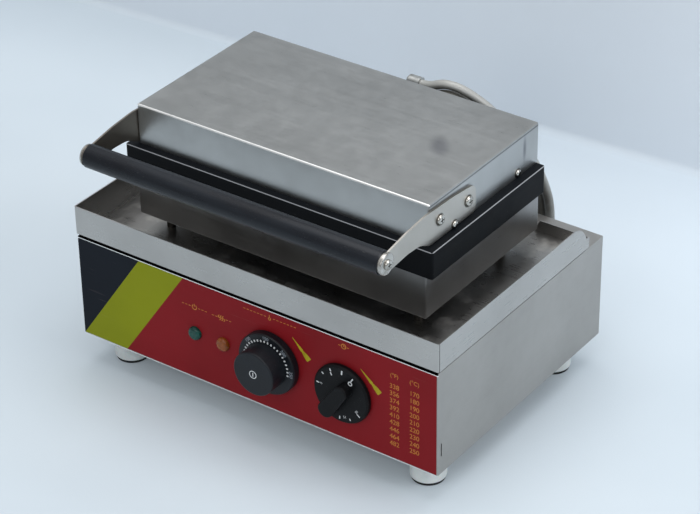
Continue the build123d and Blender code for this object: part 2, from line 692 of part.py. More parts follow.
# Every sub-part in its own file
export_step(cabinet_shell(), "parts/cabinet_shell.step")
export_step(control_overlay(), "parts/control_overlay.step")
export_step(bottom_plate(), "parts/bottom_plate.step")
export_step(rear_panel(), "parts/rear_panel.step")
export_step(cabinet_screws(), "parts/cabinet_screws.step")
feet()
export_step(drip_tray(), "parts/drip_tray.step")
housing_mounting()
export_step(base_nuts(), "parts/base_nuts.step")
export_step(wiring_sleeve(), "parts/wiring_sleeve.step")
export_step(lower_housing(), "parts/lower_housing.step")
heating_stack()
export_step(lower_insulation(), "parts/lower_insulation.step")
export_step(thermostat_bulb(), "parts/thermostat_bulb.step")
housingScrews = [(housingHalfWidth, y) for y in lowerScrewY]
export_step(side_screws(housingScrews, lowerScrewZ), "parts/housing_screws.step")
export_step(lid_cover(), "parts/lid_cover.step")
export_step(upper_insulation(), "parts/upper_insulation.step")
lidScrews = [(armFace, lidScrewY[0]), (housingHalfWidth, lidScrewY[1])]
export_step(side_screws(lidScrews, lidScrewZ), "parts/lid_screws.step")
hinges()
handle()
export_step(temperature_knob(), "parts/temperature_knob.step")
export_step(timer_knob(), "parts/timer_knob.step")
export_step(spindle(temperatureX, temperatureZ), "parts/temperature_spindle.step")
export_step(spindle(timerX, timerZ), "parts/timer_spindle.step")
export_step(dial_control(temperatureX, temperatureZ, 22, thermostatDepth), "parts/thermostat_body.step")
export_step(dial_control(timerX, timerZ, 25, timerDepth), "parts/timer_body.step")
lamps()
export_step(terminal_block(), "parts/terminal_block.step")
export_step(cabinet_wiring(), "parts/cabinet_wiring.step")
export_step(cable_gland(), "parts/cable_gland.step")
export_step(lid_conduit_fitting(), "parts/lid_conduit_fitting.step")
export_step(base_conduit_fitting(), "parts/base_conduit_fitting.step")
lock_nuts()
conduits()
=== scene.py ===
import math

import bpy
from mathutils import Matrix, Vector


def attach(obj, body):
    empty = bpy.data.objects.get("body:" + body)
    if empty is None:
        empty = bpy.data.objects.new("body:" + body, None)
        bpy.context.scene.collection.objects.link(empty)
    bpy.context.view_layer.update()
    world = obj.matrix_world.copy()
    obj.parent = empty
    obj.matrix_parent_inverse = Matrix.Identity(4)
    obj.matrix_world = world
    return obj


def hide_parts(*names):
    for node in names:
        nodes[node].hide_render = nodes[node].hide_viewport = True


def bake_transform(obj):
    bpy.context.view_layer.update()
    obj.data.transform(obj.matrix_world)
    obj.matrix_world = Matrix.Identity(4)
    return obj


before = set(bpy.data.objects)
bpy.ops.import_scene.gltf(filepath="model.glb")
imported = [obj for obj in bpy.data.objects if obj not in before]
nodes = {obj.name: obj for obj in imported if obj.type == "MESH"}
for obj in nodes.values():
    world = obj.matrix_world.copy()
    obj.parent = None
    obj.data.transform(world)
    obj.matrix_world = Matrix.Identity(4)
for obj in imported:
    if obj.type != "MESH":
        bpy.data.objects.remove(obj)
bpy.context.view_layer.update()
scene = bpy.context.scene
mm = 0.001


# Small helpers

def linear(code):
    # sRGB hex to linear RGBA
    parts = [int(code[i:i + 2], 16) / 255 for i in (1, 3, 5)]
    return tuple(c / 12.92 if c <= 0.04045 else ((c + 0.055) / 1.055) ** 2.4 for c in parts) + (1.0,)


def add(tree, kind, inputs=None, out=0, **settings):
    # one node with its settings and its inputs' values or links; gives back one of its outputs
    node = tree.nodes.new("ShaderNode" + kind)
    for name, value in settings.items():
        setattr(node, name, value)
    for name, value in (inputs or {}).items():
        if isinstance(value, bpy.types.NodeSocket):
            tree.links.new(value, node.inputs[name])
        else:
            node.inputs[name].default_value = value
    return node.outputs[out] if len(node.outputs) else None


# What makes a Mix node mix colours, and the span that most values of a noise texture lie in
mixColours = {"out": 2, "data_type": "RGBA"}
noiseSpan = {"From Min": 0.3, "From Max": 0.7}


def startMaterial(name):
    material = bpy.data.materials.new(name)
    material.use_nodes = True
    material.node_tree.nodes.clear()
    return material, material.node_tree


def pickOnly(*objects):
    bpy.ops.object.select_all(action="DESELECT")
    for item in objects:
        item.select_set(True)
    bpy.context.view_layer.objects.active = objects[-1]


def pickPoints(piece, test):
    # leaves the piece in edit mode with only the wanted points selected
    pickOnly(piece)
    bpy.ops.object.mode_set(mode="EDIT")
    bpy.ops.mesh.select_mode(type="VERT")
    bpy.ops.mesh.select_all(action="DESELECT")
    bpy.ops.object.mode_set(mode="OBJECT")
    for point in piece.data.vertices:
        point.select = test(point.co)
    bpy.ops.object.mode_set(mode="EDIT")


def settle(item):
    # places the object's turn, size and position in its mesh
    pickOnly(item)
    bpy.ops.object.transform_apply(location=True, rotation=True, scale=True)


def joined(name, items):
    pickOnly(*items)
    bpy.ops.object.join()
    piece = bpy.context.view_layer.objects.active
    piece.name = name
    piece.data.name = name
    return piece


def dress(piece, material):
    piece.data.materials.clear()
    piece.data.materials.append(material)


# Camera
camera = {"yaw": 0.6274481, "pitch": 0.5598495, "roll": -0.0151146, "focal": 2619.274,
          "at": (1.334089, -1.822447, 1.541795)}
flat = math.cos(camera["pitch"])
back = Vector((math.sin(camera["yaw"]) * flat, -math.cos(camera["yaw"]) * flat, math.sin(camera["pitch"])))
level = Vector((0, 0, 1)).cross(back).normalized()
upward = back.cross(level)
c, s = math.cos(camera["roll"]), math.sin(camera["roll"])
axes = Matrix((c * level + s * upward, c * upward - s * level, back)).transposed().to_4x4()
cameraData = bpy.data.cameras.new("camera")
cameraData.sensor_width = 36.0
cameraData.lens = camera["focal"] * 36.0 / 700.0
cameraObject = bpy.data.objects.new("camera", cameraData)
cameraObject.matrix_world = Matrix.Translation(camera["at"]) @ axes
scene.collection.objects.link(cameraObject)
scene.camera = cameraObject
print("stage: camera")


# Conduits between the lid and the cabinet, smooth through the points of their routes in mm
hoses = {
    "radius": 4.75,
    "outer": [(24, 111, 284), (34, 111, 284), (50, 112.5, 291.5), (66, 115.5, 290.5), (80.5, 121, 282.5),
              (95.5, 128, 270), (108, 137, 252), (121.5, 148, 229), (133, 159, 202), (138.5, 170, 173),
              (140.5, 178.5, 143), (140.5, 178.5, 113)],
    "inner": [(24, 111, 273), (34, 111, 273), (49, 112.5, 280), (63, 115.5, 279.3), (75.5, 121, 271.5),
              (88, 128, 259), (98.5, 137, 242), (110.5, 148, 220), (122.5, 159, 195), (127.5, 169.5, 169),
              (130, 178.5, 143), (130, 178.5, 113)],
}
hosePieces = {}
for side in ("outer", "inner"):
    route = [Vector(place) * mm for place in hoses[side]]
    curve = bpy.data.curves.new("hose_" + side, "CURVE")
    curve.dimensions = "3D"
    spline = curve.splines.new("NURBS")
    spline.points.add(len(route) - 1)
    for point, place in zip(spline.points, route):
        point.co = (*place, 1.0)
    spline.order_u = 3
    spline.use_endpoint_u = True
    curve.resolution_u = 10
    curve.bevel_depth = hoses["radius"] * mm
    curve.bevel_resolution = 6
    curve.use_fill_caps = True
    hose = bpy.data.objects.new("hose_" + side, curve)
    scene.collection.objects.link(hose)
    pickOnly(hose)
    bpy.ops.object.convert(target="MESH")
    bpy.ops.object.shade_smooth_by_angle(angle=math.radians(40))
    hose = bpy.context.view_layer.objects.active
    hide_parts("conduit_" + side)
    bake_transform(hose)
    hosePieces[side] = hose
print("stage: conduits")


# Print on the front and on the dials. Each shape faces the front (-Y) and is 0.1 mm thick.
printDepth = 0.05 * mm
facing = Matrix.Rotation(math.radians(90), 4, "X")


def placed(item, x, z, face, turn=0.0):
    # makes a flat curve or text a mesh, then stands it at (x, z) mm on y = face mm, turned clockwise
    pickOnly(item)
    bpy.ops.object.convert(target="MESH")
    item = bpy.context.view_layer.objects.active
    spun = Matrix.Rotation(math.radians(turn), 4, "Y")
    item.matrix_world = Matrix.Translation((x * mm, face * mm - printDepth, z * mm)) @ spun @ facing
    settle(item)
    return item


def outline(points, face, at=(0.0, 0.0), turn=0.0):
    # a filled outline of (x, z) points in mm about the place at
    curve = bpy.data.curves.new("print", "CURVE")
    curve.dimensions = "2D"
    curve.fill_mode = "BOTH"
    curve.extrude = printDepth
    spline = curve.splines.new("POLY")
    spline.points.add(len(points) - 1)
    for point, place in zip(spline.points, points):
        point.co = (place[0] * mm, place[1] * mm, 0.0, 1.0)
    spline.use_cyclic_u = True
    item = bpy.data.objects.new("print", curve)
    scene.collection.objects.link(item)
    return placed(item, *at, face, turn)


def figures(text, x, z, face, size, turn=0.0):
    font = bpy.data.curves.new("print", "FONT")
    font.body = text
    font.size = size * mm
    font.extrude = printDepth
    font.align_x = "CENTER"
    font.align_y = "CENTER"
    item = bpy.data.objects.new("print", font)
    scene.collection.objects.link(item)
    return placed(item, x, z, face, turn)


def stroke(x, z, length, width, turn, face):
    # a short stroke with cut corners, its length along the clock direction turn
    half, side, cut = length / 2, width / 2, width * 0.3
    corners = [(-side + cut, -half), (side - cut, -half), (side, -half + cut), (side, half - cut),
               (side - cut, half), (-side + cut, half), (-side, half - cut), (-side, -half + cut)]
    return outline(corners, face, (x, z), turn)


def loop(x, z, radius, width, face, fromTurn=0.0, toTurn=360.0):
    # a ring in two halves, or an open one, clockwise from fromTurn
    spans = [(fromTurn, toTurn)] if toTurn - fromTurn < 360 else [(0, 180), (180, 360)]
    pieces = []
    for low, high in spans:
        angles = [math.radians(low + (high - low) * i / 16) for i in range(17)]
        outer = [((radius + width / 2) * math.sin(a), (radius + width / 2) * math.cos(a)) for a in angles]
        inner = [((radius - width / 2) * math.sin(a), (radius - width / 2) * math.cos(a)) for a in angles]
        pieces.append(outline(outer + inner[::-1], face, (x, z)))
    return pieces


def around(centre, radius, turn):
    angle = math.radians(turn)
    return centre[0] + radius * math.sin(angle), centre[1] + radius * math.cos(angle)


overlayFace = -150.6

# Table of temperatures at the right of the front
table = {"columns": (171.2, 194.2), "units": ("(°F)", "(°C)"), "head": 132.2, "first": 119.5, "step": 8.33,
         "size": 7.6, "unitSize": 6.46, "celsius": range(170, 260, 10)}
items = []
for x, unit in zip(table["columns"], table["units"]):
    items.append(figures(unit, x, table["head"], overlayFace, table["unitSize"]))
for row, celsius in enumerate(table["celsius"]):
    z = table["first"] - row * table["step"]
    items.append(figures(str(round(celsius * 1.8 + 32)), table["columns"][0], z, overlayFace, table["size"]))
    items.append(figures(str(celsius), table["columns"][1], z, overlayFace, table["size"]))
tablePiece = joined("temperature_table", items)

# Icons over the lamps and dials: a power ring, heat lines, a thermometer and a clock, between short dashes.
# Each has its place, its arcs (x, z, radius, from, to) and strokes (x, z, length, width, turn) about it, and
# its dashes, as the first one's distance and the count to a side
iconLine = {"width": 0.9, "dash": 2.6, "dashWidth": 0.63, "step": 4.2}
heatArcs = [(x, *arc) for x in (-2.6, 0.0, 2.6) for arc in ((1.3, 1.3, 180, 359), (-1.3, 1.3, 0, 180))]
icons = {
    "power": {"at": (-70.0, 121.0), "dashes": (6.0, 3), "arcs": [(0, 0, 2.7, 35, 325)],
              "strokes": [(0, 2.2, 3.2, 0.9, 0)]},
    "heat": {"at": (-36.0, 120.5), "dashes": (6.5, 2), "arcs": heatArcs, "strokes": []},
    "thermometer": {"at": (24.0, 143.4), "dashes": (5.5, 7), "arcs": [(0, -1.4, 1.3, 0, 360)],
                    "strokes": [(0, 1.4, 3.6, 0.9, 0)]},
    "clock": {"at": (112.5, 143.4), "dashes": (5.0, 1), "arcs": [(0, 0, 2.6, 0, 360)],
              "strokes": [(0, 0.9, 1.8, 0.72, 0), (0.8, 0, 1.6, 0.72, 90)]},
}
items = []
for icon in icons.values():
    iconX, iconZ = icon["at"]
    for x, z, radius, low, high in icon["arcs"]:
        items += loop(iconX + x, iconZ + z, radius, iconLine["width"], overlayFace, low, high)
    for x, z, length, width, turn in icon["strokes"]:
        items.append(stroke(iconX + x, iconZ + z, length, width, turn, overlayFace))
    first, count = icon["dashes"]
    for side in (-1, 1):
        for i in range(count):
            x = iconX + side * (first + i * iconLine["step"])
            items.append(stroke(x, iconZ, iconLine["dash"], iconLine["dashWidth"], 90, overlayFace))
iconPiece = joined("panel_icons", items)

# Turning marks beside the dials: a tail that swells, a nick, and a head that flares to a blunt end
arrows = {"marks": [((51.5, 130.7), (71.0, 111.0)), ((132.6, 125.0), (154.5, 104.9))],
          "halfWidths": [(-0.02, 0.1), (0.0, 0.3), (0.25, 0.8), (0.45, 1.5), (0.56, 1.9), (0.6, 1.2),
                         (0.65, 1.7), (0.78, 2.7), (0.96, 3.3), (1.0, 2.9)]}
items = []
for tail, head in arrows["marks"]:
    reach = Vector(head) - Vector(tail)
    side = Vector((-reach.y, reach.x)).normalized()
    left = [tuple(Vector(tail) + reach * t + side * w) for t, w in arrows["halfWidths"]]
    right = [tuple(Vector(tail) + reach * t - side * w) for t, w in arrows["halfWidths"]]
    items.append(outline(left + right[::-1], overlayFace))
arrowPiece = joined("turning_marks", items)

# Temperature dial: dashes round the grip, figures outside them and a plain mark on the grip
temperature = {"centre": (24.9, 93.9), "face": -160.2, "front": -181.0, "first": 286, "step": 9, "dashes": 20,
               "dash": {"at": 26.6, "length": 2.6, "width": 1.7},
               "figure": {"at": 30.4, "size": 5.2, "first": 316, "step": 45},
               "values": ("100", "150", "200", "250"),
               "mark": {"radius": 4.0, "width": 0.8, "line": 4.8, "lineWidth": 1.0}}
items = []
for i in range(temperature["dashes"]):
    turn = temperature["first"] + i * temperature["step"]
    place = around(temperature["centre"], temperature["dash"]["at"], turn)
    items.append(stroke(*place, temperature["dash"]["length"], temperature["dash"]["width"], turn,
                        temperature["face"]))
temperatureDashes = joined("temperature_dashes", items)
items = []
for i, value in enumerate(temperature["values"]):
    turn = temperature["figure"]["first"] + i * temperature["figure"]["step"]
    place = around(temperature["centre"], temperature["figure"]["at"], turn)
    items.append(figures(value, *place, temperature["face"], temperature["figure"]["size"], turn))
temperatureFigures = joined("temperature_figures", items)
mark = temperature["mark"]
items = loop(*temperature["centre"], mark["radius"], mark["width"], temperature["front"])
items.append(stroke(*temperature["centre"], mark["line"], mark["lineWidth"], 0, temperature["front"]))
temperatureMark = joined("temperature_mark", items)

# Timer dial: ticks (radius, length, width, clock direction), a ring with a line, and small figures
timer = {"centre": (112.3, 90.7), "face": -157.4,
         "ticks": [(27.0, 3.2, 1.4, 282), (27.4, 2.8, 1.4, 312), (27.6, 3.2, 1.4, 336), (23.4, 3.6, 1.4, 334),
                   (27.0, 5.0, 1.6, 5), (26.6, 4.8, 1.2, 32), (26.6, 4.6, 1.1, 127), (27.0, 2.6, 1.2, 155),
                   (26.4, 3.6, 1.3, 182)],
         "ring": {"at": 21.5, "turn": 34, "radius": 2.0, "width": 1.1},
         "figures": [("5", 23.0, 284), ("10", 22.6, 122), ("15", 24.2, 168)], "size": 4.0}
items = []
for at, length, width, turn in timer["ticks"]:
    items.append(stroke(*around(timer["centre"], at, turn), length, width, turn, timer["face"]))
place = around(timer["centre"], timer["ring"]["at"], timer["ring"]["turn"])
items += loop(*place, timer["ring"]["radius"], timer["ring"]["width"], timer["face"])
for value, at, turn in timer["figures"]:
    place = around(timer["centre"], at, turn)
    items.append(figures(value, *place, timer["face"], timer["size"], turn))
timerMarks = joined("timer_marks", items)

for piece in (tablePiece, iconPiece, arrowPiece):
    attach(piece, "base")
for piece in (temperatureDashes, temperatureFigures, temperatureMark):
    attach(piece, "temperature_dial")
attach(timerMarks, "timer_dial")
print("stage: print")


# Stainless steel sheet, rolled, brushed along its length and folded: a soft mirror drawn out along the
# brushing, faint clouds from wiping, and small rubs. Real brush lines are 0.1 to 0.2 mm apart, too fine to
# show, so they are 0.7 mm.
def stainlessSheet(name, look, marks=None):
    material, tree = startMaterial(name)
    coords = add(tree, "TexCoord", out="Object")
    normal = add(tree, "TexCoord", out="Normal")
    facingX = add(tree, "Math", {0: add(tree, "SeparateXYZ", {0: normal}, out=0)}, operation="ABSOLUTE")
    onSide = add(tree, "Math", {0: facingX, 1: 0.7}, operation="GREATER_THAN")
    gap, run = 1 / (0.7 * mm), 1 / (140 * mm)
    alongX = add(tree, "Mapping", {"Vector": coords, "Scale": (run, gap, gap)})
    alongY = add(tree, "Mapping", {"Vector": coords, "Scale": (gap, run, gap)})
    linesX = add(tree, "TexNoise", {"Vector": alongX, "Scale": 1.0, "Detail": 3.0, "Roughness": 0.6})
    linesY = add(tree, "TexNoise", {"Vector": alongY, "Scale": 1.0, "Detail": 3.0, "Roughness": 0.6})
    lines = add(tree, "Mix", {0: onSide, 2: linesX, 3: linesY})
    clouds = add(tree, "TexNoise", {"Vector": coords, "Scale": 8.0, "Detail": 3.0, "Roughness": 0.5})
    rubs = add(tree, "TexNoise", {"Vector": coords, "Scale": 55.0, "Detail": 6.0, "Roughness": 0.7})
    tone = add(tree, "Mix", {0: 0.88, 2: lines, 3: clouds})
    amount = add(tree, "MapRange", {"Value": tone, "From Min": 0.35, "From Max": 0.65})
    colour = add(tree, "Mix", {0: amount, 6: linear(look["shade"]), 7: linear(look["base"])}, **mixColours)
    lowest, highest = look["rough"] - 0.05, look["rough"] + 0.05
    rough = add(tree, "MapRange", {"Value": lines, **noiseSpan, "To Min": lowest, "To Max": highest})
    wearAndHighlight = add(tree, "MapRange", {"Value": rubs, "From Min": 0.4, "From Max": 0.7, "To Min": -0.04,
                                  "To Max": 0.05})
    rough = add(tree, "Math", {0: rough, 1: wearAndHighlight}, operation="ADD")
    if marks:
        colour, rough = marks(tree, coords, colour, rough)
    fine = add(tree, "Bump", {"Strength": look["brush"], "Distance": 0.2 * mm, "Height": lines})
    wavy = add(tree, "Bump", {"Strength": 0.08, "Distance": 4 * mm, "Height": clouds, "Normal": fine})
    shader = add(tree, "BsdfPrincipled", {"Base Color": colour, "Metallic": 1.0, "Roughness": rough,
                                          "Normal": wavy})
    add(tree, "OutputMaterial", {"Surface": shader})
    return material


# Painted shade round the heads of the screws on the lid and arms, a dark ring for the shade where each head
# meets the sheet: each (y, z, head radius), the ring's inner and outer reach past the head, in mm, its share
# and its colour
screwShade = {"lid": [(56, 255.6, 4.1)], "arm": [(-34.6, 269.6, 5.5), (-82.7, 273.0, 5.5), (-58, 255.6, 4.1)],
         "reach": (0.3, 1.7), "share": 0.85, "colour": "#2E2A24"}


def screwGrime(tree, coords, colour, spots):
    flatCoords = add(tree, "VectorMath", {0: coords, 1: (0.0, 1.0, 1.0)}, operation="MULTIPLY")
    nearest = 1.0
    for y, z, head in spots:
        away = add(tree, "VectorMath", {0: flatCoords, 1: (0.0, y * mm, z * mm)}, out="Value",
                   operation="DISTANCE")
        away = add(tree, "Math", {0: away, 1: head * mm}, operation="SUBTRACT")
        nearest = add(tree, "Math", {0: away, 1: nearest}, operation="MINIMUM")
    inner, outer = (reach * mm for reach in screwShade["reach"])
    ring = add(tree, "MapRange", {"Value": nearest, "From Min": inner, "From Max": outer,
                                  "To Min": screwShade["share"], "To Max": 0.0})
    # a dark ring of painted shade round each screw head
    return add(tree, "Mix", {0: ring, 6: colour, 7: linear(screwShade["colour"])}, **mixColours)


def armMarks(tree, coords, colour, rough):
    return screwGrime(tree, coords, colour, screwShade["arm"]), rough


# Wear and painted shade and light on the lid, in mm: spots with their place and half sizes, heights as
# (middle, half), and the arm's arched top, which falls away from its peak (y, z)
lidWearAndShade = {"thumb": {"at": (121, 0, 295), "turn": -35.9, "size": (14, 27, 30), "share": 0.55},
           "crease": {"at": (174.7, 68, 277), "size": (20, 4.5, 21), "share": 0.65},
           "side": 174.0, "fold": (292.4, 0.9), "armPeak": (-98, 289.2), "armFall": -0.9, "armShade": (0.6, 2.2),
           "armShadeEnd": (-34, -26), "behindArm": {"y": (-20.9, 0.5), "z": (267, 11)}, "shadeShare": 0.62,
           "rubAndHighlight": {"y": -96.6, "z": 293.2}, "greaseAndShade": "#55565F", "dark": "#3C3A38", "bright": "#F0EFEC"}


def lidMarks(tree, coords, colour, rough):
    # a greasy thumb mark on the top, and painted shade for a crease low on the right side
    spot, crease = lidWearAndShade["thumb"], lidWearAndShade["crease"]
    thumb = add(tree, "Mapping", {"Vector": coords, "Location": tuple(-place * mm for place in spot["at"])})
    thumb = add(tree, "Mapping", {"Vector": thumb, "Rotation": (0, 0, math.radians(spot["turn"]))})
    thumb = add(tree, "Mapping", {"Vector": thumb, "Scale": tuple(1 / (half * mm) for half in spot["size"])})
    thumb = add(tree, "VectorMath", {0: thumb}, out="Value", operation="LENGTH")
    thumb = add(tree, "MapRange", {"Value": thumb, "From Min": 0.15, "From Max": 1.0, "To Min": spot["share"],
                                   "To Max": 0.0}, interpolation_type="SMOOTHSTEP")
    bent = add(tree, "VectorMath", {0: coords, 1: tuple(place * mm for place in crease["at"])},
               operation="SUBTRACT")
    bent = add(tree, "VectorMath", {0: bent, 1: tuple(half * mm for half in crease["size"])},
               operation="DIVIDE")
    bent = add(tree, "VectorMath", {0: bent}, out="Value", operation="LENGTH")
    bent = add(tree, "MapRange", {"Value": bent, "From Max": 1.0, "To Min": crease["share"], "To Max": 0.0},
               interpolation_type="SMOOTHSTEP")
    # the thumb's grease plus the crease's painted shade, in one colour
    greaseAndShade = add(tree, "Math", {0: thumb, 1: bent}, operation="ADD", use_clamp=True)
    colour = add(tree, "Mix", {0: greaseAndShade, 6: colour, 7: linear(lidWearAndShade["greaseAndShade"])}, **mixColours)

    # painted shade: dark lines under the side folds, and above and behind the arms
    sideX, depth, height = (add(tree, "SeparateXYZ", {0: coords}, out=i) for i in range(3))
    wide = add(tree, "Math", {0: sideX}, operation="ABSOLUTE")
    outside = add(tree, "Math", {0: wide, 1: lidWearAndShade["side"] * mm}, operation="GREATER_THAN")
    middle, half = (size * mm for size in lidWearAndShade["fold"])
    fold = add(tree, "Math", {0: height, 1: middle, 2: half}, operation="COMPARE")
    peakY, peakZ = (place * mm for place in lidWearAndShade["armPeak"])
    fromPeak = add(tree, "Math", {0: depth, 1: -peakY}, operation="ADD")
    bow = add(tree, "Math", {0: fromPeak, 1: 2.0}, operation="POWER")
    armTop = add(tree, "Math", {0: bow, 1: lidWearAndShade["armFall"], 2: peakZ}, operation="MULTIPLY_ADD")
    above = add(tree, "Math", {0: height, 1: armTop}, operation="SUBTRACT")
    above = add(tree, "Math", {0: above}, operation="ABSOLUTE")
    near, far = (reach * mm for reach in lidWearAndShade["armShade"])
    armShade = add(tree, "MapRange", {"Value": above, "From Min": near, "From Max": far, "To Min": 1.0,
                                  "To Max": 0.0})
    near, far = (place * mm for place in lidWearAndShade["armShadeEnd"])
    alongArm = add(tree, "MapRange", {"Value": depth, "From Min": near, "From Max": far, "To Min": 1.0,
                                      "To Max": 0.0})
    armShade = add(tree, "Math", {0: armShade, 1: alongArm}, operation="MULTIPLY")
    middle, half = (size * mm for size in lidWearAndShade["behindArm"]["y"])
    behind = add(tree, "Math", {0: depth, 1: middle, 2: half}, operation="COMPARE")
    middle, half = (size * mm for size in lidWearAndShade["behindArm"]["z"])
    besideArm = add(tree, "Math", {0: height, 1: middle, 2: half}, operation="COMPARE")
    behind = add(tree, "Math", {0: behind, 1: besideArm}, operation="MULTIPLY")
    armShade = add(tree, "Math", {0: armShade, 1: behind}, operation="MAXIMUM")
    dark = add(tree, "Math", {0: fold, 1: armShade}, operation="MAXIMUM")
    dark = add(tree, "Math", {0: dark, 1: outside}, operation="MULTIPLY")
    dark = add(tree, "Math", {0: dark, 1: lidWearAndShade["shadeShare"]}, operation="MULTIPLY")
    colour = add(tree, "Mix", {0: dark, 6: colour, 7: linear(lidWearAndShade["dark"])}, **mixColours)

    # a painted highlight along the top front fold
    front = add(tree, "Math", {0: depth, 1: lidWearAndShade["rubAndHighlight"]["y"] * mm}, operation="LESS_THAN")
    top = add(tree, "Math", {0: height, 1: lidWearAndShade["rubAndHighlight"]["z"] * mm}, operation="GREATER_THAN")
    rubAndHighlight = add(tree, "Math", {0: front, 1: top}, operation="MULTIPLY")
    colour = add(tree, "Mix", {0: rubAndHighlight, 6: colour, 7: linear(lidWearAndShade["bright"])}, **mixColours)
    rough = add(tree, "Math", {0: greaseAndShade, 1: 0.1, 2: rough}, operation="MULTIPLY_ADD")
    return screwGrime(tree, coords, colour, screwShade["lid"]), rough


# Wear and painted shade on the tray, in mm: seams as (middle, half), the heights between which splashes fade,
# where the inside begins, the foot set in under the walls, and the colours of baked film, splashes, seams and
# the painted shade on that foot
trayWearAndShade = {"seam": {"x": (221.4, 0.35), "y": (-148.9, 0.45), "share": 0.8}, "splash": (156.5, 153.0),
            "inside": {"x": 220.4, "y": -149.1}, "foot": {"x": 218.2, "y": -148.2, "z": 154.7},
            "colours": ("#747577", "#D9D6CF", "#2A2724", "#0B0A09")}


def trayMarks(tree, coords, colour, rough):
    # ground corner joints of the folded rim, dried splashes on the floor, a thin baked film inside, and
    # painted black shade on the foot set in under the walls
    sideX, depth, height = (add(tree, "SeparateXYZ", {0: coords}, out=i) for i in range(3))
    wide = add(tree, "Math", {0: sideX}, operation="ABSOLUTE")
    middle, half = (size * mm for size in trayWearAndShade["seam"]["x"])
    nearSide = add(tree, "Math", {0: wide, 1: middle, 2: half}, operation="COMPARE")
    middle, half = (size * mm for size in trayWearAndShade["seam"]["y"])
    nearFront = add(tree, "Math", {0: depth, 1: middle, 2: half}, operation="COMPARE")
    seam = add(tree, "Math", {0: nearSide, 1: nearFront}, operation="MULTIPLY")
    seam = add(tree, "Math", {0: seam, 1: trayWearAndShade["seam"]["share"]}, operation="MULTIPLY")
    drops = add(tree, "TexNoise", {"Vector": coords, "Scale": 34.0, "Detail": 5.0, "Roughness": 0.62})
    drops = add(tree, "MapRange", {"Value": drops, "From Min": 0.53, "From Max": 0.66, "To Max": 0.4})
    dry, wet = (level * mm for level in trayWearAndShade["splash"])
    low = add(tree, "MapRange", {"Value": height, "From Min": dry, "From Max": wet})
    drops = add(tree, "Math", {0: drops, 1: low}, operation="MULTIPLY")
    inWide = add(tree, "Math", {0: wide, 1: trayWearAndShade["inside"]["x"] * mm}, operation="LESS_THAN")
    inDeep = add(tree, "Math", {0: depth, 1: trayWearAndShade["inside"]["y"] * mm}, operation="GREATER_THAN")
    inner = add(tree, "Math", {0: inWide, 1: inDeep}, operation="MULTIPLY")
    baked = add(tree, "TexNoise", {"Vector": coords, "Scale": 14.0, "Detail": 4.0, "Roughness": 0.6})
    baked = add(tree, "MapRange", {"Value": baked, **noiseSpan, "To Min": 0.0, "To Max": 0.17})
    baked = add(tree, "Math", {0: baked, 1: inner}, operation="MULTIPLY")
    # painted shade: the foot set in under the walls is coloured black
    atSide = add(tree, "Math", {0: wide, 1: trayWearAndShade["foot"]["x"] * mm}, operation="GREATER_THAN")
    atFront = add(tree, "Math", {0: depth, 1: trayWearAndShade["foot"]["y"] * mm}, operation="LESS_THAN")
    atEdge = add(tree, "Math", {0: atSide, 1: atFront}, operation="MAXIMUM")
    foot = add(tree, "Math", {0: height, 1: trayWearAndShade["foot"]["z"] * mm}, operation="LESS_THAN")
    foot = add(tree, "Math", {0: foot, 1: atEdge}, operation="MULTIPLY")
    for share, code in zip((baked, drops, seam, foot), trayWearAndShade["colours"]):
        colour = add(tree, "Mix", {0: share, 6: colour, 7: linear(code)}, **mixColours)
    return colour, add(tree, "Math", {0: drops, 1: 0.3, 2: rough}, operation="MULTIPLY_ADD")


# Painted light and shade on the cabinet's front folds, as heights in mm
cabinetPaintedLight = {"highlightAbove": 149.4, "shadowAbove": 150.8, "highlightBelow": 34.9, "front": -148.6,
               "bright": "#F4F3F0", "greaseAndShade": "#0B0A09"}


def cabinetMarks(tree, coords, colour, rough):
    # painted black shadow along the top front fold under the tray, and painted highlights just below it and
    # along the bottom
    depth, height = (add(tree, "SeparateXYZ", {0: coords}, out=i) for i in (1, 2))
    top = add(tree, "Math", {0: height, 1: cabinetPaintedLight["highlightAbove"] * mm}, operation="GREATER_THAN")
    shadowUnderTray = add(tree, "Math", {0: height, 1: cabinetPaintedLight["shadowAbove"] * mm}, operation="GREATER_THAN")
    bottom = add(tree, "Math", {0: height, 1: cabinetPaintedLight["highlightBelow"] * mm}, operation="LESS_THAN")
    front = add(tree, "Math", {0: depth, 1: cabinetPaintedLight["front"] * mm}, operation="LESS_THAN")
    folds = add(tree, "Math", {0: top, 1: bottom}, operation="MAXIMUM")
    rubAndHighlight = add(tree, "Math", {0: folds, 1: front}, operation="MULTIPLY")
    shadowUnderTray = add(tree, "Math", {0: shadowUnderTray, 1: front}, operation="MULTIPLY")
    for share, code in ((rubAndHighlight, cabinetPaintedLight["bright"]), (shadowUnderTray, cabinetPaintedLight["greaseAndShade"])):
        colour = add(tree, "Mix", {0: share, 6: colour, 7: linear(code)}, **mixColours)
    return colour, add(tree, "Math", {0: rubAndHighlight, 1: -0.12, 2: rough}, operation="MULTIPLY_ADD")


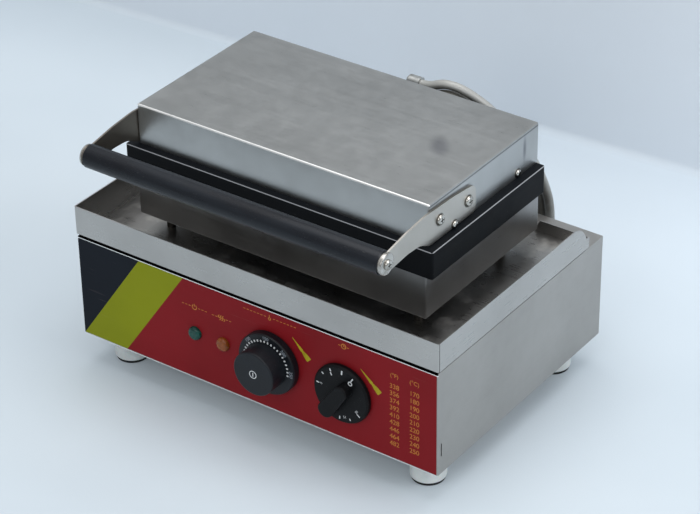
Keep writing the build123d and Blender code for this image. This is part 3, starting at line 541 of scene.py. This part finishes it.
steelLooks = {
    "lid": {"base": "#B2B3B2", "shade": "#A6A7A6", "rough": 0.36, "brush": 0.04},
    "tray": {"base": "#B8B6B3", "shade": "#AAA8A5", "rough": 0.33, "brush": 0.04},
    "cabinet": {"base": "#ACA9A5", "shade": "#9F9C98", "rough": 0.38, "brush": 0.04},
    "housing": {"base": "#9A9998", "shade": "#888786", "rough": 0.36, "brush": 0.06},
    "arm": {"base": "#C2BEB7", "shade": "#AFABA4", "rough": 0.38, "brush": 0.12},
    "darkerArm": {"base": "#8C867E", "shade": "#7A746C", "rough": 0.42, "brush": 0.12},
}
steelLid = stainlessSheet("brushed_stainless_lid", steelLooks["lid"], lidMarks)
steelTray = stainlessSheet("brushed_stainless_tray", steelLooks["tray"], trayMarks)
steelCabinet = stainlessSheet("brushed_stainless_cabinet", steelLooks["cabinet"], cabinetMarks)
# the housing's steel, darker all over: painted shade for its place under the lid
steelHousing = stainlessSheet("shaded_stainless_housing", steelLooks["housing"])
steelArm = stainlessSheet("ground_stainless_arm", steelLooks["arm"], armMarks)
# a darker copy of the arm steel, for the left arm
steelArmDarker = stainlessSheet("darker_stainless_arm", steelLooks["darkerArm"], armMarks)
print("stage: steel")


# Cast iron with a baked black non-stick coat: satin black with a fine orange peel (0.6 mm), hazy patches and
# pale specks, a painted sheen that makes it greyer on upward faces, and a painted highlight along the upper
# plate's outer edge
ironLook = {"dark": "#060709", "hazy": "#0E1013", "speck": "#4A4845", "top": "#111418", "edge": "#8F9194",
            "peel": 0.6 * mm, "wearAndHighlight": {"x": 184.2, "y": -106.8, "z": (250.8, 0.5)}}
coatedIron, tree = startMaterial("coated_cast_iron")
coords = add(tree, "TexCoord", out="Object")
peel = add(tree, "TexNoise", {"Vector": coords, "Scale": 1 / ironLook["peel"], "Detail": 2.0})
haze = add(tree, "TexNoise", {"Vector": coords, "Scale": 30.0, "Detail": 5.0, "Roughness": 0.65})
specks = add(tree, "TexNoise", {"Vector": coords, "Scale": 420.0, "Detail": 3.0})
specks = add(tree, "MapRange", {"Value": specks, "From Min": 0.70, "From Max": 0.76, "To Max": 0.5})
hazy = add(tree, "MapRange", {"Value": haze, **noiseSpan})
colour = add(tree, "Mix", {0: hazy, 6: linear(ironLook["dark"]), 7: linear(ironLook["hazy"])}, **mixColours)
normal = add(tree, "TexCoord", out="Normal")
# painted sheen: faces turned upward are greyer
upward = add(tree, "SeparateXYZ", {0: normal}, out=2)
upward = add(tree, "MapRange", {"Value": upward, "From Min": 0.3, "From Max": 0.9})
colour = add(tree, "Mix", {0: upward, 6: colour, 7: linear(ironLook["top"])}, **mixColours)
colour = add(tree, "Mix", {0: specks, 6: colour, 7: linear(ironLook["speck"])}, **mixColours)
# a painted highlight: a pale line along the upper plate's outer edge
sideX, depth, height = (add(tree, "SeparateXYZ", {0: coords}, out=i) for i in range(3))
wide = add(tree, "Math", {0: sideX}, operation="ABSOLUTE")
wide = add(tree, "Math", {0: wide, 1: ironLook["wearAndHighlight"]["x"] * mm}, operation="GREATER_THAN")
front = add(tree, "Math", {0: depth, 1: ironLook["wearAndHighlight"]["y"] * mm}, operation="LESS_THAN")
outer = add(tree, "Math", {0: wide, 1: front}, operation="MAXIMUM")
middle, half = (size * mm for size in ironLook["wearAndHighlight"]["z"])
edge = add(tree, "Math", {0: height, 1: middle, 2: half}, operation="COMPARE")
edge = add(tree, "Math", {0: edge, 1: outer}, operation="MULTIPLY")
colour = add(tree, "Mix", {0: edge, 6: colour, 7: linear(ironLook["edge"])}, **mixColours)
rough = add(tree, "MapRange", {"Value": haze, **noiseSpan, "To Min": 0.42, "To Max": 0.56})
bump = add(tree, "Bump", {"Strength": 0.25, "Distance": 0.2 * mm, "Height": peel})
shader = add(tree, "BsdfPrincipled", {"Base Color": colour, "Roughness": rough, "Specular IOR Level": 0.07,
                                      "Normal": bump})
add(tree, "OutputMaterial", {"Surface": shader})

# Polycarbonate film printed on its back: black, yellow and red bands with slanted edges, under a matt face
filmLook = {"black": ("#11161E", "#161B23"), "yellow": ("#7E8412", "#878D15"), "red": ("#77161B", "#82191F"),
            "slope": 0.6915, "level": 0.1477, "cuts": (-0.1415, -0.0851), "scuff": "#A99A9A"}
printedFilm, tree = startMaterial("printed_polycarbonate_film")
coords = add(tree, "TexCoord", out="Object")
acrossX = add(tree, "SeparateXYZ", {0: coords}, out=0)
height = add(tree, "SeparateXYZ", {0: coords}, out=2)
atLevel = filmLook["level"] * filmLook["slope"]
lean = add(tree, "Math", {0: height, 1: -filmLook["slope"], 2: atLevel}, operation="MULTIPLY_ADD")
slant = add(tree, "Math", {0: acrossX, 1: lean}, operation="ADD")
ink = add(tree, "TexNoise", {"Vector": coords, "Scale": 11.0, "Detail": 3.0})
patchy = add(tree, "MapRange", {"Value": ink, **noiseSpan})
inks = {}
for name in ("black", "yellow", "red"):
    first, second = (linear(code) for code in filmLook[name])
    inks[name] = add(tree, "Mix", {0: patchy, 6: first, 7: second}, **mixColours)
past = [add(tree, "Math", {0: slant, 1: cut}, operation="GREATER_THAN") for cut in filmLook["cuts"]]
bands = add(tree, "Mix", {0: past[0], 6: inks["black"], 7: inks["yellow"]}, **mixColours)
bands = add(tree, "Mix", {0: past[1], 6: bands, 7: inks["red"]}, **mixColours)
scratchy = add(tree, "Mapping", {"Vector": coords, "Scale": (18, 300, 420)})
scuffs = add(tree, "TexNoise", {"Vector": scratchy, "Scale": 1.0, "Detail": 5.0, "Roughness": 0.6})
scuffs = add(tree, "MapRange", {"Value": scuffs, "From Min": 0.67, "From Max": 0.75, "To Max": 0.08})
bands = add(tree, "Mix", {0: scuffs, 6: bands, 7: linear(filmLook["scuff"])}, **mixColours)
matt = add(tree, "TexNoise", {"Vector": coords, "Scale": 1 / (0.4 * mm), "Detail": 2.0})
ripple = add(tree, "TexNoise", {"Vector": coords, "Scale": 22.0, "Detail": 2.0})
rough = add(tree, "MapRange", {"Value": ink, **noiseSpan, "To Min": 0.36, "To Max": 0.44})
bump = add(tree, "Bump", {"Strength": 0.1, "Distance": 0.1 * mm, "Height": matt})
bump = add(tree, "Bump", {"Strength": 0.1, "Distance": 2 * mm, "Height": ripple, "Normal": bump})
shader = add(tree, "BsdfPrincipled", {"Base Color": bands, "Roughness": rough, "Specular IOR Level": 0.08,
                                      "Normal": bump})
add(tree, "OutputMaterial", {"Surface": shader})


# Phenolic and nylon mouldings: black with a satin skin (grain 0.5 to 1 mm), greyer where rubbed, and dust
# specks. The bar, drawn out along its length, has its rubs in streaks.
dustTone = "#8A8A88"


def blackMoulding(name, look):
    material, tree = startMaterial(name)
    coords = add(tree, "TexCoord", out="Object")
    stretch = look.get("drawn", 1.0)
    drawn = add(tree, "Mapping", {"Vector": coords, "Scale": (stretch, 1.0, 1.0)})
    patches = add(tree, "TexNoise", {"Vector": drawn, "Scale": 35.0 / stretch ** 0.5, "Detail": 5.0,
                                     "Roughness": 0.65})
    skin = add(tree, "TexNoise", {"Vector": coords, "Scale": 1 / (look["grain"] * mm), "Detail": 2.0})
    motes = add(tree, "TexNoise", {"Vector": coords, "Scale": 900.0, "Detail": 2.0})
    motes = add(tree, "MapRange", {"Value": motes, "From Min": 0.70, "From Max": 0.74,
                                   "To Max": look["dust"]})
    rubAndHighlight = add(tree, "MapRange", {"Value": patches, "From Min": 0.35, "From Max": 0.7})
    colour = add(tree, "Mix", {0: rubAndHighlight, 6: linear(look["base"]), 7: linear(look["wearAndHighlight"])}, **mixColours)
    colour = add(tree, "Mix", {0: motes, 6: colour, 7: linear(dustTone)}, **mixColours)
    lowest, highest = look["rough"] - 0.05, look["rough"] + 0.07
    rough = add(tree, "MapRange", {"Value": patches, **noiseSpan, "To Min": lowest, "To Max": highest})
    bump = add(tree, "Bump", {"Strength": 0.12, "Distance": 0.2 * mm, "Height": skin})
    shader = add(tree, "BsdfPrincipled", {"Base Color": colour, "Roughness": rough,
                                          "Specular IOR Level": look["gloss"], "Normal": bump})
    add(tree, "OutputMaterial", {"Surface": shader})
    return material


blackLooks = {
    "bar": {"base": "#0B0E15", "wearAndHighlight": "#161B22", "rough": 0.28, "grain": 0.7, "dust": 0.2, "gloss": 0.3,
            "drawn": 0.1},
    "dial": {"base": "#0D1015", "wearAndHighlight": "#15191F", "rough": 0.42, "grain": 0.7, "dust": 0.25, "gloss": 0.28},
    "timer": {"base": "#08090B", "wearAndHighlight": "#0E0F11", "rough": 0.5, "grain": 0.5, "dust": 0.15, "gloss": 0.15},
    "gland": {"base": "#141414", "wearAndHighlight": "#202020", "rough": 0.5, "grain": 0.6, "dust": 0.2, "gloss": 0.5},
    "body": {"base": "#1A1613", "wearAndHighlight": "#2A231E", "rough": 0.5, "grain": 0.8, "dust": 0.3, "gloss": 0.5},
    "pad": {"base": "#1B1B1C", "wearAndHighlight": "#2A2A2B", "rough": 0.75, "grain": 1.1, "dust": 0.4, "gloss": 0.3},
}
phenolicBar = blackMoulding("satin_phenolic_bar", blackLooks["bar"])
phenolicDial = blackMoulding("satin_phenolic_dial", blackLooks["dial"])
phenolicTimer = blackMoulding("matt_phenolic_timer", blackLooks["timer"])
nylonGland = blackMoulding("moulded_nylon_gland", blackLooks["gland"])
phenolicBody = blackMoulding("brown_phenolic_body", blackLooks["body"])
rubberPad = blackMoulding("nitrile_rubber_pad", blackLooks["pad"])


# Turned, plated or cast small metal: bright with fine turning lines (0.4 mm, drawn 3 mm long), dulled in
# stained patches
def smallMetal(name, look):
    material, tree = startMaterial(name)
    coords = add(tree, "TexCoord", out="Object")
    stains = add(tree, "TexNoise", {"Vector": coords, "Scale": 110.0, "Detail": 5.0, "Roughness": 0.65})
    drawn = add(tree, "Mapping", {"Vector": coords, "Scale": (1 / (3 * mm), 1 / (0.4 * mm), 1 / (0.4 * mm))})
    turned = add(tree, "TexNoise", {"Vector": drawn, "Scale": 1.0, "Detail": 3.0})
    stained = add(tree, "MapRange", {"Value": stains, "From Min": 0.35, "From Max": 0.7})
    colour = add(tree, "Mix", {0: stained, 6: linear(look["base"]), 7: linear(look["dull"])}, **mixColours)
    lowest, highest = look["rough"] - 0.05, look["rough"] + 0.08
    rough = add(tree, "MapRange", {"Value": stains, **noiseSpan, "To Min": lowest, "To Max": highest})
    bump = add(tree, "Bump", {"Strength": 0.1, "Distance": 0.1 * mm, "Height": turned})
    shader = add(tree, "BsdfPrincipled", {"Base Color": colour, "Metallic": 1.0, "Roughness": rough,
                                          "Normal": bump})
    add(tree, "OutputMaterial", {"Surface": shader})
    return material


metalLooks = {
    "disc": {"base": "#C2BFBA", "dull": "#97938C", "rough": 0.24},
    "screw": {"base": "#CBC8C1", "dull": "#8F8B84", "rough": 0.14},
    "spacer": {"base": "#413E3A", "dull": "#2B2926", "rough": 0.5},
    "casting": {"base": "#B9BAB8", "dull": "#8F908D", "rough": 0.42},
    "heater": {"base": "#6C665E", "dull": "#4B4640", "rough": 0.50},
    "clamp": {"base": "#A9AAA8", "dull": "#8A8A86", "rough": 0.42},
    "copper": {"base": "#B4714A", "dull": "#8A5236", "rough": 0.35},
}
chromeDisc = smallMetal("chromed_steel_disc", metalLooks["disc"])
zincScrew = smallMetal("zinc_plated_screw", metalLooks["screw"])
# dark steel for the standoffs under the housing and their screws
darkSpacer = smallMetal("dark_steel_spacer", metalLooks["spacer"])
zincCasting = smallMetal("die_cast_fitting", metalLooks["casting"])
heaterSteel = smallMetal("heat_stained_sheath", metalLooks["heater"])
clampSteel = smallMetal("mill_finish_clamp", metalLooks["clamp"])
drawnCopper = smallMetal("drawn_copper_bulb", metalLooks["copper"])
print("stage: plates, film, mouldings, small metal")


# Pale and printed parts: matt, cloudy, with a surface as coarse as its grain in mm
def paleMatter(name, look):
    material, tree = startMaterial(name)
    coords = add(tree, "TexCoord", out="Object")
    cloudy = add(tree, "TexNoise", {"Vector": coords, "Scale": 0.08 / (look["grain"] * mm), "Detail": 4.0,
                                    "Roughness": 0.6})
    fine = add(tree, "TexNoise", {"Vector": coords, "Scale": 1 / (look["grain"] * mm), "Detail": 3.0,
                                  "Roughness": 0.6})
    amount = add(tree, "MapRange", {"Value": cloudy, **noiseSpan})
    colour = add(tree, "Mix", {0: amount, 6: linear(look["base"]), 7: linear(look["other"])}, **mixColours)
    lowest, highest = look["rough"] - 0.05, look["rough"] + 0.05
    rough = add(tree, "MapRange", {"Value": fine, **noiseSpan, "To Min": lowest, "To Max": highest})
    bump = add(tree, "Bump", {"Strength": 0.3, "Distance": look["depth"] * mm, "Height": fine})
    shader = add(tree, "BsdfPrincipled", {"Base Color": colour, "Roughness": rough,
                                          "Specular IOR Level": look["gloss"], "Normal": bump,
                                          "Subsurface Weight": look["milky"], "Subsurface Scale": 0.004})
    add(tree, "OutputMaterial", {"Surface": shader})
    return material


inkFilm = {"rough": 0.5, "grain": 0.5, "depth": 0.1, "milky": 0.0, "gloss": 0.3}
paleLooks = {
    "foot": {"base": "#DADDDB", "other": "#C6CAC9", "rough": 0.42, "grain": 1.1, "depth": 0.2, "milky": 0.15,
             "gloss": 0.5},
    "blanket": {"base": "#D8D3C4", "other": "#C2BBA8", "rough": 0.93, "grain": 1.4, "depth": 2.0,
                "milky": 0.0, "gloss": 0.3},
    "sleeve": {"base": "#C9C2AE", "other": "#AFA690", "rough": 0.8, "grain": 0.7, "depth": 0.5, "milky": 0.0,
               "gloss": 0.3},
    "gold": {"base": "#C98232", "other": "#AE6A22", **inkFilm},
    "white": {"base": "#DFE0E0", "other": "#C4C6C7", **inkFilm},
    "grey": {"base": "#9AA0A8", "other": "#858B93", **inkFilm},
    "yellow": {"base": "#AEA01F", "other": "#9A8C18", **inkFilm, "rough": 0.45, "gloss": 0.2},
}
nylonFoot = paleMatter("moulded_nylon_foot", paleLooks["foot"])
ceramicWool = paleMatter("ceramic_fibre_blanket", paleLooks["blanket"])
glassSleeve = paleMatter("glass_fibre_sleeve", paleLooks["sleeve"])
goldInk = paleMatter("screen_printed_gold", paleLooks["gold"])
whiteInk = paleMatter("screen_printed_white", paleLooks["white"])
greyInk = paleMatter("screen_printed_grey", paleLooks["grey"])
yellowInk = paleMatter("screen_printed_yellow", paleLooks["yellow"])


# Braided steel conduit: a close weave (real 0.5 mm, drawn 0.9 mm), greyish above, and brown where it faces
# down, which is painted shade
def braidedConduit(name, look):
    material, tree = startMaterial(name)
    coords = add(tree, "TexCoord", out="Object")
    normal = add(tree, "TexCoord", out="Normal")
    up = add(tree, "SeparateXYZ", {0: normal}, out=2)
    mottle = add(tree, "TexNoise", {"Vector": coords, "Scale": 60.0, "Detail": 5.0, "Roughness": 0.65})
    weave = add(tree, "TexVoronoi", {"Vector": coords, "Scale": 1 / (0.9 * mm)})
    # painted shade: darker and browner on the underside
    under = add(tree, "Math", {0: mottle, 1: 0.6, 2: up}, operation="MULTIPLY_ADD")
    under = add(tree, "MapRange", {"Value": under, "From Min": 0.65, "From Max": -0.1})
    colour = add(tree, "Mix", {0: under, 6: linear(look["above"]), 7: linear(look["below"])}, **mixColours)
    rough = add(tree, "MapRange", {"Value": mottle, **noiseSpan, "To Min": 0.38, "To Max": 0.52})
    bump = add(tree, "Bump", {"Strength": 0.35, "Distance": 0.4 * mm, "Height": weave})
    shader = add(tree, "BsdfPrincipled", {"Base Color": colour, "Metallic": 0.3, "Roughness": rough,
                                          "Normal": bump})
    add(tree, "OutputMaterial", {"Surface": shader})
    return material


# the inner hose is given darker colours: painted shade
hoseLooks = {"outer": {"above": "#A2A29E", "below": "#4A453D"},
             "inner": {"above": "#7C7972", "below": "#3A362F"}}
conduitLight = braidedConduit("braided_conduit_light", hoseLooks["outer"])
conduitShaded = braidedConduit("braided_conduit_shaded", hoseLooks["inner"])


# Lenses of the pilot lamps, moulded in tinted polycarbonate with 2.4 mm facets inside: deep colour with a
# soft sheen
def tintedLens(name, look):
    material, tree = startMaterial(name)
    coords = add(tree, "TexCoord", out="Object")
    facets = add(tree, "TexVoronoi", {"Vector": coords, "Scale": 1 / (2.4 * mm)})
    cloud = add(tree, "TexNoise", {"Vector": coords, "Scale": 150.0, "Detail": 3.0})
    amount = add(tree, "MapRange", {"Value": cloud, **noiseSpan})
    colour = add(tree, "Mix", {0: amount, 6: linear(look["deep"]), 7: linear(look["tint"])}, **mixColours)
    rough = add(tree, "MapRange", {"Value": cloud, **noiseSpan, "To Min": 0.18, "To Max": 0.28})
    bump = add(tree, "Bump", {"Strength": 0.15, "Distance": 0.5 * mm, "Height": facets})
    shader = add(tree, "BsdfPrincipled", {"Base Color": colour, "Roughness": rough,
                                          "Transmission Weight": 0.2, "IOR": 1.58,
                                          "Specular IOR Level": 0.22, "Normal": bump})
    add(tree, "OutputMaterial", {"Surface": shader})
    return material


greenLens = tintedLens("green_polycarbonate", {"deep": "#07362F", "tint": "#0F564B"})
orangeLens = tintedLens("orange_polycarbonate", {"deep": "#7A3F10", "tint": "#9C5420"})

for piece in (tablePiece, iconPiece):
    dress(piece, goldInk)
dress(arrowPiece, yellowInk)
for piece in (temperatureDashes, temperatureMark, timerMarks):
    dress(piece, whiteInk)
dress(temperatureFigures, greyInk)
dress(hosePieces["outer"], conduitLight)
dress(hosePieces["inner"], conduitShaded)

finishes = {
    steelLid: ["lid_cover"],
    steelTray: ["drip_tray"],
    steelCabinet: ["cabinet_shell", "rear_panel", "bottom_plate"],
    steelHousing: ["lower_housing"],
    darkSpacer: ["housing_standoffs", "standoff_screws"],
    steelArm: ["handle_arm_right", "hinge_brackets"],
    steelArmDarker: ["handle_arm_left"],
    coatedIron: ["lower_mould_plate", "upper_mould_plate"],
    printedFilm: ["control_overlay"],
    phenolicBar: ["handle_bar"],
    phenolicDial: ["temperature_knob"],
    phenolicTimer: ["timer_knob"],
    nylonGland: ["cable_gland"],
    phenolicBody: ["thermostat_body", "timer_body", "lamp_bodies", "terminal_block"],
    rubberPad: ["foot_pads"],
    chromeDisc: ["handle_end_discs"],
    zincScrew: ["arm_bolts", "arm_nuts", "base_nuts", "cabinet_screws", "foot_screws", "handle_screws",
                "hinge_arm_screws", "hinge_bracket_screws", "hinge_pin_clips", "hinge_pins",
                "housing_screws", "lamp_nuts", "lid_screws", "lower_clamp_bolts", "upper_clamp_bolts",
                "temperature_spindle", "timer_spindle"],
    zincCasting: ["base_conduit_fitting", "hinge_arms", "lid_conduit_fitting", "panel_lock_nuts",
                  "lid_lock_nut"],
    heaterSteel: ["lower_heater", "upper_heater"],
    clampSteel: ["lower_clamp_plate", "upper_clamp_plate"],
    drawnCopper: ["thermostat_bulb"],
    nylonFoot: ["feet"],
    ceramicWool: ["lower_insulation", "upper_insulation"],
    glassSleeve: ["wiring_sleeve", "cabinet_wiring"],
    greenLens: ["green_lamp_lens"],
    orangeLens: ["orange_lamp_lens"],
}
for material, names in finishes.items():
    for name in names:
        slots = nodes[name].data.materials
        for i in range(len(slots)):
            slots[i] = material
        if not len(slots):
            slots.append(material)
dressed = {name for names in finishes.values() for name in names} | {"conduit_outer", "conduit_inner"}
left = set(nodes) - dressed
print("stage: finishes; left out:", sorted(left))


# Floor and backdrop: one sheet of pale paper, folded up behind the object, with painted light that makes it
# paler towards the fold and the right. It also glows faintly, for every ray, which lifts the shadow under the
# cabinet.
backdrop = {"width": 6.4, "depth": 4.0, "foldAt": 0.537, "turn": math.atan(0.064), "rise": 0.5, "bend": 0.01,
            "floor": ("#B8C2C9", "#C0C9CF"), "far": ("#CAD4DC", "#D2DBE2"), "wall": ("#C6CED6", "#CDD4DB"),
            "wallRight": ("#D8E0E8", "#DEE5EC"), "fibre": 1.5, "glow": 0.1,
            "farLean": 0.35, "farSpan": (0.25, 0.7), "rightSpan": (-0.1, 0.4)}
bpy.ops.object.select_all(action="DESELECT")
bpy.ops.mesh.primitive_plane_add(size=1.0, location=(0, -0.5, 0))
paper = bpy.context.view_layer.objects.active
paper.name = "paper"
settle(paper)
paper.scale = (backdrop["width"], backdrop["depth"], 1)
settle(paper)
pickPoints(paper, lambda place: place.y > -0.001)
bpy.ops.mesh.extrude_edges_move(TRANSFORM_OT_translate={"value": (0, 0, backdrop["rise"])})
bpy.ops.object.mode_set(mode="OBJECT")
pickPoints(paper, lambda place: place.y > -0.001 and place.z < 0.001)
bpy.ops.mesh.bevel(offset=backdrop["bend"], segments=8, affect="EDGES")
bpy.ops.mesh.select_all(action="SELECT")
bpy.ops.mesh.normals_make_consistent(inside=False)
bpy.ops.object.mode_set(mode="OBJECT")
widest = max(paper.data.polygons, key=lambda face: face.area)
if widest.normal.z < 0:
    pickPoints(paper, lambda place: True)
    bpy.ops.mesh.flip_normals()
    bpy.ops.object.mode_set(mode="OBJECT")
bpy.ops.object.shade_smooth_by_angle(angle=math.radians(40))
paper.rotation_euler.z = backdrop["turn"]
paper.location.y = backdrop["foldAt"]
settle(paper)
paperLook, tree = startMaterial("pale_card")
coords = add(tree, "TexCoord", out="Object")
height = add(tree, "SeparateXYZ", {0: coords}, out=2)
raised = add(tree, "MapRange", {"Value": height, "From Min": 0.0, "From Max": backdrop["bend"]})
clouds = add(tree, "TexNoise", {"Vector": coords, "Scale": 2.2, "Detail": 3.0})
amount = add(tree, "MapRange", {"Value": clouds, **noiseSpan})
tones = {}
for part in ("floor", "wall", "far", "wallRight"):
    first, second = (linear(code) for code in backdrop[part])
    tones[part] = add(tree, "Mix", {0: amount, 6: first, 7: second}, **mixColours)
acrossX, depth = (add(tree, "SeparateXYZ", {0: coords}, out=i) for i in (0, 1))
# painted light: paler further back towards the fold, and on the wall towards the right
far = add(tree, "Math", {0: acrossX, 1: backdrop["farLean"], 2: depth}, operation="MULTIPLY_ADD")
nearest, furthest = backdrop["farSpan"]
far = add(tree, "MapRange", {"Value": far, "From Min": nearest, "From Max": furthest})
nearest, furthest = backdrop["rightSpan"]
toRight = add(tree, "MapRange", {"Value": acrossX, "From Min": nearest, "From Max": furthest})
floorTone = add(tree, "Mix", {0: far, 6: tones["floor"], 7: tones["far"]}, **mixColours)
wallTone = add(tree, "Mix", {0: toRight, 6: tones["wall"], 7: tones["wallRight"]}, **mixColours)
tone = add(tree, "Mix", {0: raised, 6: floorTone, 7: wallTone}, **mixColours)
fibre = add(tree, "TexNoise", {"Vector": coords, "Scale": 1 / (backdrop["fibre"] * mm), "Detail": 3.0})
bump = add(tree, "Bump", {"Strength": 0.15, "Distance": 0.6 * mm, "Height": fibre})
shader = add(tree, "BsdfPrincipled", {"Base Color": tone, "Roughness": 0.9, "Specular IOR Level": 0.2,
                                      "Normal": bump,
                                      "Emission Color": tone, "Emission Strength": backdrop["glow"]})
# seen from behind or below, the paper lets the camera through, so that it never hides the object
backSide = add(tree, "NewGeometry", out="Backfacing")
cameraRay = add(tree, "LightPath", out="Is Camera Ray")
fromBehind = add(tree, "Math", {0: backSide, 1: cameraRay}, operation="MULTIPLY")
shader = add(tree, "MixShader", {0: fromBehind, 1: shader, 2: add(tree, "BsdfTransparent")})
add(tree, "OutputMaterial", {"Surface": shader})
dress(paper, paperLook)


# Soft studio light: name, place, aim, size in metres, watts and colour
lamps = [
    ("ceiling", (0.0, 0.2, 2.5), (0, 0, 0.1), (2.4, 2.0), 32, "#FBFCFF"),
    ("window", (2.6, 0.3, 1.9), (0.2, 0.05, 0.1), (1.6, 1.4), 31, "#FBFCFF"),
    ("front", (0.4, -2.6, 2.0), (0, 0, 0.1), (2.2, 1.4), 20, "#FBFCFF"),
]
for name, at, aim, size, power, tint in lamps:
    data = bpy.data.lights.new(name, "AREA")
    data.shape = "RECTANGLE"
    data.size, data.size_y = size
    data.energy = power
    data.color = linear(tint)[:3]
    item = bpy.data.objects.new(name, data)
    turned = (Vector(at) - Vector(aim)).to_track_quat("Z", "Y").to_matrix().to_4x4()
    item.matrix_world = Matrix.Translation(at) @ turned
    scene.collection.objects.link(item)

# The room: grey near the level of the eye, pale overhead
room = {"low": "#B4B8BB", "high": "#EDEFF1", "from": 0.55, "to": 0.85}
world = bpy.data.worlds.new("studio")
scene.world = world
world.use_nodes = True
world.node_tree.nodes.clear()
tree = world.node_tree
direction = add(tree, "TexCoord", out="Generated")
height = add(tree, "SeparateXYZ", {0: direction}, out=2)
amount = add(tree, "MapRange", {"Value": height, "From Min": room["from"], "From Max": room["to"]})
sky = add(tree, "Mix", {0: amount, 6: linear(room["low"]), 7: linear(room["high"])}, **mixColours)
background = add(tree, "Background", {"Color": sky, "Strength": 1.0})
add(tree, "OutputWorld", {"Surface": background})
scene.view_settings.view_transform = "Standard"
print("stage: light and floor")
